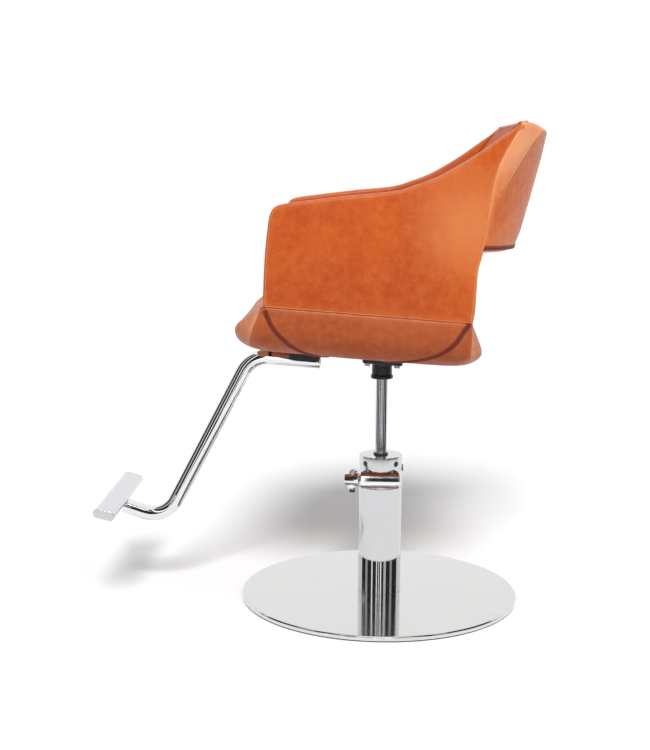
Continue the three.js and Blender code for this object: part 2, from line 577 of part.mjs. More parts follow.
function tubePath() {
  const at = ([y, z]) => new THREE.Vector3(0, y, z);
  const points = TUBE_PATH.map(at);
  const path = new THREE.CurvePath();
  let from = points[0];
  for (let i = 1; i < points.length - 1; i += 1) {
    const back = points[i - 1].clone().sub(points[i]).normalize();
    const on = points[i + 1].clone().sub(points[i]).normalize();
    const half = back.angleTo(on) / 2;
    const reach = TUBE.bend / Math.tan(half);
    const enter = points[i].clone().addScaledVector(back, reach);
    const leave = points[i].clone().addScaledVector(on, reach);
    const centre = points[i].clone().addScaledVector(back.clone().add(on).normalize(), TUBE.bend / Math.sin(half));
    path.add(new THREE.LineCurve3(from, enter));
    path.add(bendArc(centre, enter, leave));
    from = leave;
  }
  path.add(new THREE.LineCurve3(from, points.at(-1)));
  return path;
}

function bendArc(centre, enter, leave) {
  const a = enter.clone().sub(centre);
  const b = leave.clone().sub(centre);
  const axis = a.clone().cross(b).normalize();
  const angle = a.angleTo(b);
  class Bend extends THREE.Curve {
    getPoint(t, target = new THREE.Vector3()) {
      return target.copy(a).applyAxisAngle(axis, angle * t).add(centre);
    }
  }
  return new Bend();
}

function sweep(radius, steps) {
  const section = new THREE.Shape().absarc(0, 0, radius, 0, FULL_TURN);
  return solid(new THREE.ExtrudeGeometry(section, { steps, curveSegments: 6, extrudePath: tubePath() }));
}

function buildFootrest() {
  const { y, halfX, plateLow, plateTop, saddleHalfX, saddleLow } = BRACKET;
  const plate = box([-halfX, halfX], y, [plateLow, plateTop]);
  const saddle = box([-saddleHalfX, saddleHalfX], grown(y, -2), [saddleLow, plateLow + 1]);
  const seatOfTube = alongY(rod(TUBE.r + GAP, -BIG, BIG)).translate(0, 0, TUBE_PATH[0][1]);
  const body = solid(plate).add(solid(saddle));
  place(seat, 'footrest_bracket', cut(body, solid(seatOfTube), ...bracketBolts().map(boltWay)), BLACK_CAST);

  bracketBolts().forEach(([x, by], i) => {
    const { r, headR, headT, top } = BRACKET_BOLT;
    const under = plateLow - GAP;
    const bolt = lathe([[0, under - headT], [headR - 1, under - headT], [headR, under - headT + 1], [headR, under],
      [r, under], [r, top], [0, top]], 12).translate(x, by, 0);
    place(seat, `footrest_bolt_${i + 1}`, bolt, STEEL);
  });

  const { w, h, wall, cap } = BAR;
  const obround = (width, height) => {
    const r = height / 2;
    const flat = width / 2 - r;
    const near = new THREE.Shape().absarc(flat, 0, r, -Math.PI / 2, Math.PI / 2);
    return near.absarc(-flat, 0, r, Math.PI / 2, 1.5 * Math.PI);
  };
  const pitched = (geometry) => geometry.rotateX(BAR.pitch).translate(0, BAR.y, BAR.z);
  const barAt = (width, height, half) => solid(pitched(extrudeX(obround(width, height), -half, half)));
  const barHalf = BAR.halfX - cap - GAP;
  const hollow = barAt(w - 2 * wall, h - 2 * wall, BIG);
  place(seat, 'footrest_bar', barAt(w, h, barHalf).subtract(hollow), CHROME);
  const face = BAR.halfX - cap;
  const spigot = obround(w - 2 * wall - 2 * GAP, h - 2 * wall - 2 * GAP);
  SIDES.forEach(([name, side]) => {
    const plug = union(
      solid(pitched(extrudeX(obround(w, h), face, BAR.halfX))),
      solid(pitched(extrudeX(spigot, face - 10, face + 1))),
    );
    place(seat, `bar_end_cap_${name}`, mirrored(plug, side), CHROME);
  });

  const tube = sweep(TUBE.r, 38).subtract(sweep(TUBE.r - TUBE.wall, 38));
  const bore = alongY(rod(TUBE.r - TUBE.wall, 0, 20)).rotateX(Math.PI);
  const start = solid(bore.translate(0, TUBE_PATH[0][0] - 10, TUBE_PATH[0][1]));
  place(seat, 'footrest_tube', cut(tube, start, barAt(w + 2 * GAP, h + 2 * GAP, BIG)), CHROME);
}

buildBase();
buildColumn();
buildHead();
buildLift();
buildLever();
buildPlunger();
buildHub();
buildTub();
buildFootrest();

export default chair;
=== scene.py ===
"""Looks of the styling chair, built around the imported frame.

Sizes are in millimetres and turn into metres when a mesh is placed. Upholstery is drawn in
the seat frame: origin in the hub, y towards the back, z up, leaning back by TILT.
"""

import json
import math

import bpy
import numpy as np
from mathutils import Matrix, Vector


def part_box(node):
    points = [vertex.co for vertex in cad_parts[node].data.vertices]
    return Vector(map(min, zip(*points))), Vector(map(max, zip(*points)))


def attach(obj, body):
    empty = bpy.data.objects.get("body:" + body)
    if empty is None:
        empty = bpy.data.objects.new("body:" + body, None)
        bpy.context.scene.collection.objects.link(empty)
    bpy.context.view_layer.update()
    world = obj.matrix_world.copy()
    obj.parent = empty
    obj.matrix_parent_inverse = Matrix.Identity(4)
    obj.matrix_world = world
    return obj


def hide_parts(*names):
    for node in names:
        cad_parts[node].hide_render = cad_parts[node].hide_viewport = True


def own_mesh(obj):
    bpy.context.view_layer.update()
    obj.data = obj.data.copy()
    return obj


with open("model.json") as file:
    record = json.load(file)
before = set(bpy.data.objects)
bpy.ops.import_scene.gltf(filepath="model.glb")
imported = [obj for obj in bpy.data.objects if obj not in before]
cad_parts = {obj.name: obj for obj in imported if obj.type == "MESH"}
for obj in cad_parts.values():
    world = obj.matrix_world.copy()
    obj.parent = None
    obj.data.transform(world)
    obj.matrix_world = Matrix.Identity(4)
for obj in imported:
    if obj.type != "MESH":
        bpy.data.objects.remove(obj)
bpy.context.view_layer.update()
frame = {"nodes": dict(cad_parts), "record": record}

# ---------------------------------------------------------------- driving dimensions
MM = 0.001
TILT = math.radians(4)
SEAT_HEIGHT = 549.0                          # the seat frame's origin above the floor
HALF_WIDTH = round(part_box("arm_pad_left")[1].x / MM)
ARM_THICK = 52.0
INNER_WIDTH = HALF_WIDTH - ARM_THICK         # half the space between the arms
SEAM_WIDTH = HALF_WIDTH - 8.0                # half width at the seam between arm and back
STRAIGHT_TO = 90.0                           # the arms run straight as far back as this
SEAM_Y = 181.0
BACK_BOTTOM = 285.0
BACK_TOP = 534.0                             # the outer back's top edge at its ends
BACK_CORNER = 16.0
INNER_BOTTOM, INNER_TOP = 284.0, 546.0       # the inner back's edges
LEAN = 0.182                                 # the tub's bend moves back by this share of its height
ARM_SEAM = 134.0                             # height of the topstitched seam along the side
EDGE = 9.0                                   # rounding of an upholstered edge
PIPING = 2.5
BOARD_HALF = 182.0                           # kept inside the rounded hull
CUSHION_SPREAD = 1.07                        # widens the cushion until it meets the arms
LEVER_DROOP = math.radians(9)
AXIS = 0.01                                  # a solid's lathe profile ends this close to the axis


def box_mm(node):
    low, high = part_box(node)
    return np.array(low) / MM, np.array(high) / MM


SEAT_FRAME = Matrix.Translation((0, 0, SEAT_HEIGHT)) @ Matrix.Rotation(-TILT, 4, "X")
SEAT_FRAME_METRES = Matrix.Translation((0, 0, SEAT_HEIGHT * MM)) @ Matrix.Rotation(-TILT, 4, "X")
ROW_FRAME = Matrix.Identity(4)


# ---------------------------------------------------------------- materials
class Look:
    """A node material being put together."""

    def __init__(self, name):
        self.material = bpy.data.materials.new(name)
        self.material.use_nodes = True
        self.tree = self.material.node_tree
        self.shader = self.tree.nodes["Principled BSDF"]
        self.place = self.tree.nodes.new("ShaderNodeTexCoord").outputs["Object"]

    def feed(self, socket, value):
        """Sets an input to a number or a tuple, or links it to another node's output."""
        if isinstance(value, bpy.types.NodeSocket):
            self.tree.links.new(value, socket)
        elif isinstance(value, tuple) and len(value) < len(socket.default_value):
            socket.default_value = (*value, 1)
        else:
            socket.default_value = value

    def node(self, kind, inputs, **settings):
        made = self.tree.nodes.new(kind)
        for key, value in settings.items():
            setattr(made, key, value)
        for name, value in inputs.items():
            self.feed(made.inputs[name], value)
        return made

    def parts(self):
        """The place's X, Y and Z."""
        return self.node("ShaderNodeSeparateXYZ", {"Vector": self.place}).outputs

    def stretched(self, scale):
        return self.node("ShaderNodeMapping", {"Scale": scale, "Vector": self.place}).outputs["Vector"]

    def noise(self, scale, detail=4, roughness=0.55, vector=None, distortion=0.0):
        inputs = {"Scale": scale, "Detail": detail, "Roughness": roughness, "Distortion": distortion,
                  "Vector": vector or self.place}
        return self.node("ShaderNodeTexNoise", inputs).outputs["Fac"]

    def line_noise(self, value, scale):
        """Noise that varies along one value only."""
        inputs = {"W": value, "Scale": scale}
        return self.node("ShaderNodeTexNoise", inputs, noise_dimensions="1D").outputs["Fac"]

    def cracks(self, scale):
        """Distance to the nearest edge between cells."""
        inputs = {"Scale": scale, "Vector": self.place}
        return self.node("ShaderNodeTexVoronoi", inputs, feature="DISTANCE_TO_EDGE").outputs["Distance"]

    def attribute(self, name):
        return self.node("ShaderNodeAttribute", {}, attribute_name=name).outputs["Fac"]

    def spread(self, value, low, high, to_low=0.0, to_high=1.0):
        inputs = {"Value": value, "From Min": low, "From Max": high, "To Min": to_low, "To Max": to_high}
        return self.node("ShaderNodeMapRange", inputs).outputs["Result"]

    def math(self, operation, first, second=0):
        return self.node("ShaderNodeMath", {0: first, 1: second}, operation=operation).outputs["Value"]

    def mix(self, factor, first, second):
        return self.node("ShaderNodeMix", {0: factor, 6: first, 7: second}, data_type="RGBA").outputs[2]

    def bump(self, height, strength, distance, under=None):
        inputs = {"Height": height, "Strength": strength, "Distance": distance}
        if under is not None:
            inputs["Normal"] = under
        return self.node("ShaderNodeBump", inputs).outputs["Normal"]

    def finish(self, color, roughness, normal=None, **values):
        inputs = {"Base Color": color, "Roughness": roughness}
        if normal is not None:
            inputs["Normal"] = normal
        for name, value in values.items():
            inputs[name.replace("_", " ")] = value
        for name, value in inputs.items():
            self.feed(self.shader.inputs[name], value)
        return self.material


def leather(name, deep, mid, pale, roughness=0.43, painted_sheen_at=None):
    """Aniline leather: cloudy dye with mottle and pores, with painted shade that darkens it low down and a
    painted highlight that makes it paler along the seams.

    The place given as (y, z) in metres gets a painted sheen: a paler spot where the surface turns towards the
    light.
    """
    look = Look(name)
    clouds = look.spread(look.noise(8, 4, 0.55), 0.36, 0.64)
    mottle = look.spread(look.noise(55, 8, 0.7), 0.40, 0.70)
    dye = look.mix(clouds, deep, mid)
    # Painted shade: the colour darkens towards the bottom, where less light falls.
    low = look.spread(look.parts()["Z"], 0.64, 0.90, 0.60, 0.0)
    dye = look.mix(low, dye, tuple(0.80 * c for c in deep))
    # Painted sheen: paler round the given place, for the light the curved surface catches there.
    if painted_sheen_at:
        ends = {0: look.stretched((0, 1, 1)), 1: (0, *painted_sheen_at)}
        distance = look.node("ShaderNodeVectorMath", ends, operation="DISTANCE").outputs["Value"]
        dye = look.mix(look.spread(distance, 0.02, 0.14, 0.5, 0.0), dye, tuple(c ** 0.8 for c in pale))
    dye = look.mix(look.math("MULTIPLY", mottle, 0.30), dye, pale)
    specks = look.spread(look.noise(420, 3, 0.7), 0.62, 0.74)
    dye = look.mix(look.math("MULTIPLY", specks, 0.22), dye, tuple(0.62 * c for c in deep))
    # Painted highlight: paler near seams and rolled edges, by the rim layer.
    edge_highlight = look.math("MULTIPLY", look.attribute("rim"), 0.40)
    dye = look.mix(edge_highlight, dye, pale)
    normal = look.bump(look.cracks(640), 0.16, 0.0004)
    normal = look.bump(look.noise(1500, 3, 0.6), 0.10, 0.0002, normal)
    normal = look.bump(look.noise(150, 5, 0.6), 0.12, 0.0010, normal)
    gloss = look.spread(mottle, 0.0, 1.0, roughness + 0.05, roughness - 0.04)
    return look.finish(dye, gloss, normal, Specular_IOR_Level=0.22)


def chrome(name, tint, roughness, waviness=0.03, smudge=0.05):
    """Plated or polished metal with faint smudges and a slightly wavy surface."""
    look = Look(name)
    smudges = look.spread(look.noise(34, 6, 0.7, distortion=0.6), 0.45, 0.75)
    gloss = look.spread(smudges, 0.0, 1.0, roughness, roughness + smudge)
    shade = look.mix(look.math("MULTIPLY", smudges, 0.25), tint, tuple(0.86 * c for c in tint))
    pits = look.noise(900, 2, 0.5)
    normal = look.bump(look.noise(11, 2, 0.4), waviness, 0.004)
    normal = look.bump(pits, 0.01, 0.0001, normal)
    return look.finish(shade, gloss, normal, Metallic=1.0)


def spun_steel(name, tint):
    """Mirror-polished disc: faint rings of the polishing wheel, and soft sectors painted in its colour as the
    spun finish's wedge-shaped highlights.
    """
    look = Look(name)
    parts = look.parts()
    x, y = parts["X"], parts["Y"]
    radius = look.math("SQRT", look.math("ADD", look.math("MULTIPLY", x, x), look.math("MULTIPLY", y, y)))
    angle = look.math("ARCTAN2", y, x)
    rings = look.line_noise(radius, 700)
    # Painted highlight: paler and darker sectors by angle, standing for the spun finish's reflections.
    highlight_sectors = look.line_noise(look.math("SINE", look.math("MULTIPLY", angle, 3.0)), 2.4)
    shade = look.mix(look.spread(highlight_sectors, 0.3, 0.7, 0.0, 0.25), tint, tuple(0.9 * c for c in tint))
    scuffs = look.spread(look.noise(26, 7, 0.75), 0.5, 0.8, 0.0, 0.06)
    gloss = look.math("ADD", look.spread(rings, 0.3, 0.7, 0.07, 0.11), scuffs)
    normal = look.bump(rings, 0.03, 0.0002)
    normal = look.bump(look.noise(9, 2, 0.4), 0.02, 0.003, normal)
    return look.finish(shade, gloss, normal, Metallic=1.0)


def plain(name, dark, light, roughness, grain, depth, metallic=0.0):
    """Cast, moulded or turned stock with its own grain and colour variation."""
    look = Look(name)
    shade = look.mix(look.spread(look.noise(40, 5, 0.6), 0.35, 0.65), dark, light)
    gloss = look.spread(look.noise(120, 4, 0.6), 0.3, 0.7, roughness - 0.06, roughness + 0.08)
    normal = look.bump(look.noise(grain, 4, 0.6), 0.25, depth)
    return look.finish(shade, gloss, normal, Metallic=metallic)


def wood(name):
    """Plywood: long grain with thin darker lines."""
    look = Look(name)
    lines = look.noise(9, 6, 0.6, look.stretched((2, 2, 60)), 0.6)
    shade = look.mix(look.spread(lines, 0.35, 0.65), (0.36, 0.2, 0.09), (0.62, 0.42, 0.22))
    return look.finish(shade, 0.62, look.bump(lines, 0.2, 0.0006))


# The arm and gusset leathers carry a painted sheen spot at the given place.
ORANGE = leather("orange_leather", (0.38, 0.045, 0.001), (0.47, 0.074, 0.002), (0.60, 0.18, 0.045), 0.36,
                 painted_sheen_at=(0.17, 0.875))
# Painted light: the gusset and the outer back take paler copies of the orange leather, for the light they
# catch from the side and above.
GUSSET = leather("gusset_leather_lit_copy", (0.50, 0.095, 0.010), (0.59, 0.140, 0.024), (0.74, 0.36, 0.17), 0.34,
                 painted_sheen_at=(0.29, 1.03))
BACK = leather("back_leather_lit_copy", (0.46, 0.080, 0.008), (0.57, 0.125, 0.020), (0.70, 0.28, 0.10), 0.38)
BOAT = leather("lower_leather", (0.34, 0.056, 0.008), (0.41, 0.084, 0.018), (0.52, 0.16, 0.055))
TAN = leather("seat_leather", (0.46, 0.140, 0.055), (0.54, 0.195, 0.090), (0.66, 0.34, 0.21), 0.44)
WELT = leather("welt_leather", (0.13, 0.015, 0.008), (0.18, 0.026, 0.014), (0.26, 0.05, 0.03), 0.5)
# Pale leather for the raised seam edges and the nose darts: a painted highlight along each seam line.
SEAM_HIGHLIGHT = leather("seam_highlight_leather", (0.60, 0.24, 0.09), (0.70, 0.34, 0.16), (0.80, 0.48, 0.28), 0.5)
THREAD = plain("thread", (0.62, 0.20, 0.05), (0.78, 0.32, 0.10), 0.7, 2600, 0.0003)
CHROME = chrome("chrome_plate", (0.82, 0.825, 0.84), 0.03)
# Painted shade: the column and the pump head take a darker copy of the chrome plate, to dim their
# reflections.
SHADED_COLUMN_CHROME = chrome("shaded_column_chrome", (0.64, 0.65, 0.665), 0.04, 0.02)
STEEL_ROD = chrome("ground_rod", (0.66, 0.68, 0.71), 0.07, 0.015)
SATIN = chrome("satin_bar", (0.69, 0.705, 0.735), 0.16, 0.02, 0.08)
PLATE = spun_steel("spun_plate", (0.715, 0.712, 0.706))
BLACK = plain("black_casting", (0.006, 0.006, 0.007), (0.016, 0.016, 0.018), 0.34, 500, 0.0006)
RUBBER = plain("black_rubber", (0.010, 0.010, 0.010), (0.022, 0.022, 0.022), 0.7, 900, 0.0004)
DARK_STEEL = plain("oiled_steel", (0.06, 0.06, 0.065), (0.14, 0.14, 0.15), 0.36, 600, 0.0002, 1.0)
BOLT_STEEL = plain("zinc_bolts", (0.42, 0.42, 0.40), (0.62, 0.62, 0.60), 0.38, 500, 0.0002, 0.5)
BRONZE = plain("bronze", (0.35, 0.20, 0.08), (0.50, 0.31, 0.14), 0.3, 500, 0.0002, 1.0)
PLYWOOD = wood("plywood")

SLOT_LOOKS = {
    "base_steel": PLATE, "chrome": CHROME, "bolt_steel": BOLT_STEEL, "dark_steel": DARK_STEEL,
    "black_casting": BLACK, "rubber": RUBBER, "bronze": BRONZE, "plywood": PLYWOOD,
    "shell_leather": ORANGE, "seat_leather": TAN,
}
SLOTS = {look.name: slot for slot, look in SLOT_LOOKS.items()}
SLOTS |= {look.name: "chrome" for look in (SHADED_COLUMN_CHROME, STEEL_ROD, SATIN)}
SLOTS |= {look.name: "shell_leather" for look in (WELT, SEAM_HIGHLIGHT, THREAD)}
SLOTS |= {BOAT.name: "seat_leather"}


def dress_cad_nodes():
    """Every CAD node gets the procedural look of its material slot."""
    for part in frame["record"]["subparts"]:
        mesh = frame["nodes"][part["node"]].data
        mesh.materials.clear()
        mesh.materials.append(SLOT_LOOKS[part["material_slot"]])


# ---------------------------------------------------------------- mesh helpers
def added(name, data):
    """A new object in the scene."""
    obj = bpy.data.objects.new(name, data)
    bpy.context.scene.collection.objects.link(obj)
    return obj


def new_mesh(name, points, faces, *looks):
    mesh = bpy.data.meshes.new(name)
    mesh.from_pydata(points, [], faces)
    for look in looks:
        mesh.materials.append(look)
    return mesh


def add_piece(name, shells, body, looks, space=ROW_FRAME, replaces=(), sharp=40, rim=None):
    """A piece from shells of (points, faces, look number); rim says how near a seam its points are."""
    points, faces, numbers = [], [], []
    for shell_points, shell_faces, number in shells:
        start = len(points)
        points += [space @ Vector(p) * MM for p in shell_points]
        faces += [[start + i for i in face] for face in shell_faces]
        numbers += [number] * len(shell_faces)
    mesh = new_mesh(name, points, faces, *looks)
    mesh.polygons.foreach_set("material_index", numbers)
    mesh.polygons.foreach_set("use_smooth", [True] * len(faces))
    mesh.update()
    mesh.set_sharp_from_angle(angle=math.radians(sharp))
    if rim is not None:
        values = np.full(len(points), rim, np.float32)
        mesh.attributes.new("rim", "FLOAT", "POINT").data.foreach_set("value", values)
    obj = added(name, mesh)
    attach(obj, body)
    if replaces:
        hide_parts(*replaces)
    return obj


def solid(name, shells, body, look, node=None, space=ROW_FRAME, rim=None):
    """A piece of one look, in that look's slot, which replaces at most one CAD node."""
    numbered = [(*shell, 0) for shell in shells]
    return add_piece(name, numbered, body, [look], space, [node] if node else (), rim=rim)


def rings_to_shell(rings, loop=False):
    """Quads between rings of equal length, with the end rings capped, or joined to each other."""
    size, count = len(rings[0]), len(rings)
    points = [p for ring in rings for p in ring]
    faces = []
    for i in range(count if loop else count - 1):
        here, there = i * size, ((i + 1) % count) * size
        faces += [[here + j, here + (j + 1) % size, there + (j + 1) % size, there + j] for j in range(size)]
    if not loop:
        faces.append(list(range(size))[::-1])
        faces.append([(count - 1) * size + j for j in range(size)])
    return points, faces


def eased(profile, radius, steps=4):
    """The profile with its marked corners [r, z, True] rounded, and a support ring beside each."""
    out = []
    for i, corner in enumerate(profile):
        here = np.array(corner[:2], float)
        if len(corner) < 3:
            out.append(here)
            continue
        before = np.array(profile[i - 1][:2], float) - here
        after = np.array(profile[(i + 1) % len(profile)][:2], float) - here
        spans = [np.linalg.norm(before), np.linalg.norm(after)]
        before, after = before / spans[0], after / spans[1]
        reach = min(radius, 0.3 * min(spans))
        start, end = here + before * reach, here + after * reach
        out.append(start + before * reach * 0.5)
        for k in range(steps + 1):
            t = k / steps
            out.append((1 - t) ** 2 * start + 2 * t * (1 - t) * here + t * t * end)
        out.append(end + after * reach * 0.5)
    return out


def turned(profile, radius=0.6, segments=128, loop=False):
    """A lathe shell about Z. A solid's profile runs from end cap to end cap; a ring's closes on itself."""
    angles = np.linspace(0, 2 * math.pi, segments, endpoint=False)
    rings = [[(r * math.cos(a), r * math.sin(a), z) for a in angles] for r, z in eased(profile, radius)]
    return rings_to_shell(rings, loop=loop)


def rod(r, low, high, radius=0.8, segments=96):
    """A round bar along Z with both its edges rounded."""
    return turned([[AXIS, low], [r, low, True], [r, high, True], [AXIS, high]], radius, segments)


def moved(shell, matrix):
    points, faces = shell
    return [tuple(matrix @ Vector(p)) for p in points], faces


def at(x, y, z):
    return Matrix.Translation((x, y, z))


ALONG_Y = Matrix.Rotation(-math.pi / 2, 4, "X")      # a lathe's height runs along Y
ALONG_X = Matrix.Rotation(math.pi / 2, 4, "Y")


def fillet(before, here, after, radius, steps):
    """Points of the arc that rounds the corner at here."""
    before, after = before - here, after - here
    before, after = before / np.linalg.norm(before), after / np.linalg.norm(after)
    half = math.acos(np.clip(before @ after, -1, 1)) / 2
    reach = radius / math.tan(half)
    centre = here + (before + after) / np.linalg.norm(before + after) * radius / math.sin(half)
    first, last = here + before * reach - centre, here + after * reach - centre
    turn = math.atan2(first[0] * last[1] - first[1] * last[0], first @ last)
    return [centre + [first[0] * math.cos(a) - first[1] * math.sin(a),
                      first[0] * math.sin(a) + first[1] * math.cos(a)]
            for a in (turn * k / steps for k in range(steps + 1))]


def rounded_outline(points, steps=8):
    """Closed outline from (x, y, radius) corners."""
    corners = np.array(points, float)[:, :2]
    neighbours = zip(np.roll(corners, 1, 0), corners, np.roll(corners, -1, 0), points)
    return np.array([p for before, here, after, (_, _, radius) in neighbours
                     for p in fillet(before, here, after, radius, steps)])


def rounded_box(x0, x1, y0, y1, radius):
    return rounded_outline([(x0, y0, radius), (x1, y0, radius), (x1, y1, radius), (x0, y1, radius)])


def unit(vectors):
    return vectors / (np.linalg.norm(vectors, axis=-1, keepdims=True) + 1e-9)


def inset(outline, amount):
    """The closed counterclockwise outline moved inwards, corner by corner."""
    along = unit(np.roll(outline, -1, 0) - np.roll(outline, 1, 0))
    inwards = np.stack([-along[:, 1], along[:, 0]], 1)
    return outline + inwards * amount


def prism(outline, low, high, bevel):
    """A closed outline extruded along Z, with its end edges rounded."""
    outline = np.array(outline, float)
    x, y = outline.T
    if x @ np.roll(y, -1) < y @ np.roll(x, -1):
        outline = outline[::-1]
    rings = [(inset(outline, 1.5 * bevel), low)]
    for k in range(5):
        a = math.pi / 2 * k / 4
        rings.append((inset(outline, bevel * (1 - math.sin(a))), low + bevel * (1 - math.cos(a))))
    rings.append((outline, low + min(1.5 * bevel, 0.45 * (high - low))))
    rings += [(ring, low + high - z) for ring, z in rings[::-1]]
    return rings_to_shell([[(x, y, z) for x, y in ring] for ring, z in rings])


def smooth_curve(points, count=None):
    """Points along a Catmull-Rom curve through the given ones."""
    p = np.array(points, float)
    padded = np.vstack([2 * p[0] - p[1], p, 2 * p[-1] - p[-2]])
    out = []
    for i in range(len(p) - 1):
        a, b, c, d = padded[i:i + 4]
        for t in np.linspace(0, 1, 24, endpoint=False):
            out.append(0.5 * (2 * b + (c - a) * t + (2 * a - 5 * b + 4 * c - d) * t ** 2
                              + (3 * b - a - 3 * c + d) * t ** 3))
    out = np.array(out + [p[-1]])
    return out if count is None else resampled(out, np.linspace(0, 1, count))


def resampled(line, shares):
    """Points at the given shares of the line's length."""
    steps = np.linalg.norm(np.diff(line, axis=0), axis=1)
    run = np.concatenate([[0], np.cumsum(steps)])
    places = np.asarray(shares) * run[-1]
    return np.stack([np.interp(places, run, line[:, k]) for k in range(line.shape[1])], 1)


def swept(line, radius, sides=12, up=(1, 0, 0)):
    """Rings of a round tube along the line, carried along without twist."""
    line = np.array(line, float)
    tangent = unit(np.gradient(line, axis=0))
    side = unit(np.cross(tangent[0], up))
    rings = []
    for p, t in zip(line, tangent):
        side = unit(side - t * (side @ t))
        other = np.cross(t, side)
        rings.append([tuple(p + radius * (math.cos(a) * side + math.sin(a) * other))
                      for a in np.linspace(0, 2 * math.pi, sides, endpoint=False)])
    return rings


def cord_shell(line, radius, sides=10):
    return rings_to_shell(swept(line, radius, sides))


# ---------------------------------------------------------------- metal parts
def build_base():
    high = box_mm("base_plate")[1]
    r, t = high[0], high[2]
    rim, recess, boss, gap = r - 29.5, 7.0, 62.0, 2.2
    profile = [[boss, 0], [boss, recess], [rim, recess], [rim, gap, True], [r, gap, True], [r, t - 3.2, True],
               [r - 2.6, t - 0.5, True], [r - 14, t], [60, t], [2, t], [2, 0]]
    shell = turned(profile, 0.7, 256, loop=True)
    plug = turned([[AXIS, 0.2], [2, 0.2], [2, t], [AXIS, t]], segments=24)
    solid("base_disc", [shell, plug], "base", PLATE, "base_plate")
    # A dark rubber ring under the rim gives the dark line at the plate's foot: partly the dark gap there,
    # partly painted contact shadow.
    pad = turned([[rim + 2, 0], [r - 2, 0], [r - 2, gap + 0.1], [rim + 2, gap + 0.1]], 0.3, 192, loop=True)
    solid("contact_shade_ring", [pad], "base", RUBBER)


def build_column():
    for name in ("column_collar", "column_tube"):
        low, high = box_mm(name)
        r, bottom, top = high[0], low[2], high[2]
        shell = turned([[r - 2, bottom], [r, bottom, True], [r, top, True], [r - 2, top]], 0.5, loop=True)
        solid(f"{name}_fine", [shell], "base", SHADED_COLUMN_CHROME, name)


def build_head():
    low, high = box_mm("pump_head")
    r, bottom, top, bore = high[0], low[2], high[2], 14.6
    body = turned([[bore, bottom], [r, bottom, True], [r, top, True], [bore + 3, top, True], [bore, top - 2]],
                  1.3, loop=True)
    solid("pump_head_fine", [body], "base", SHADED_COLUMN_CHROME, "pump_head")

    screw_r = 5.5
    cup = turned([[AXIS, -2], [screw_r, -2], [screw_r, 0.9, True], [2.8, 0.9, True], [2.4, 0.4], [AXIS, 0.4]],
                 0.3, 48)
    ring = turned([[screw_r, -2], [screw_r + 0.9, -2], [screw_r + 0.9, 0.35, True], [screw_r, 0.35, True]],
                  0.2, 48, True)
    for number, side in ((1, -1), (2, 1)):
        name = f"head_screw_{number}"
        low, high = box_mm(name)
        z = (low[2] + high[2]) / 2
        place = Matrix.Rotation(side * math.pi / 4, 4, "Z") @ at(r - 0.2, 0, z) @ ALONG_X
        solid(f"{name}_fine", [moved(cup, place), moved(ring, place)], "base", DARK_STEEL, name)

    plug_z = 304.0
    plug = turned([[AXIS, r - 3], [8, r - 3], [8, r + 1.6, True], [6.4, r + 2.2, True], [3, r + 2.2, True],
                   [2.6, r + 0.6], [AXIS, r + 0.6]], 0.4, 48)
    solid("head_plug", [moved(plug, at(0, 0, plug_z) @ ALONG_Y)], "base", DARK_STEEL)

    low, high = box_mm("wiper_seal")
    wiper = turned([[14.2, low[2]], [high[0], low[2]], [high[0], low[2] + 2, True], [15.2, high[2], True],
                    [14.2, high[2]]], 0.5, loop=True)
    solid("wiper_lip", [wiper], "base", RUBBER, "wiper_seal")


def lever_axis():
    """The x and z of the lever's shaft, and its housing's radius and ends along Y."""
    low, high = box_mm("lever_housing")
    return (low[0] + high[0]) / 2, (low[2] + high[2]) / 2, (high[2] - low[2]) / 2, low[1], high[1]


def build_housing():
    x, z, r, start, end = lever_axis()
    sleeve = turned([[8.4, start], [r - 3, start, True], [r, start + 3, True], [r, end - 2, True],
                     [r - 2, end, True], [12, end, True], [11, end - 1.5, True], [8.4, end - 1.5]],
                    1.0, 96, loop=True)
    pin = turned([[AXIS, end - 6], [8.3, end - 6], [8.3, end - 1, True], [AXIS, end - 1]], 0.8, 48)
    saddle = turned([[AXIS, z - 30], [3, z - 30, True], [12, z - 14, True], [12, z], [AXIS, z]], 3, 64)
    shaft = at(x, 0, z) @ ALONG_Y
    shells = [moved(sleeve, shaft), moved(pin, shaft), moved(saddle, at(x - 8, -2, 0))]
    solid("lever_housing_fine", shells, "base", CHROME, "lever_housing")


def build_rod():
    low, high = box_mm("piston_rod")
    hidden = 20.0                                # the stretch inside the piston
    solid("rod_fine", [rod(high[0], low[2] + hidden, high[2])], "seat", STEEL_ROD, "piston_rod")


def build_spring():
    """The plunger's coil spring, at its full length. A real one shortens as the plunger goes down; this mesh
    does not.
    """
    low, high = box_mm("plunger_spring")
    middle, wire, travel, turns = (low[0] + high[0]) / 2, 0.7, 7.2, 4
    coil_r = (high[0] - low[0]) / 2 - wire
    angle = np.linspace(0, 2 * turns * math.pi, 240)
    height = np.linspace(low[2] + wire, high[2] - wire, 240)
    line = np.stack([middle + coil_r * np.cos(angle), coil_r * np.sin(angle), height], 1)
    spring = solid("plunger_spring_fine", [cord_shell(line, wire, 12)], "base", BOLT_STEEL, "plunger_spring")
    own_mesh(spring)


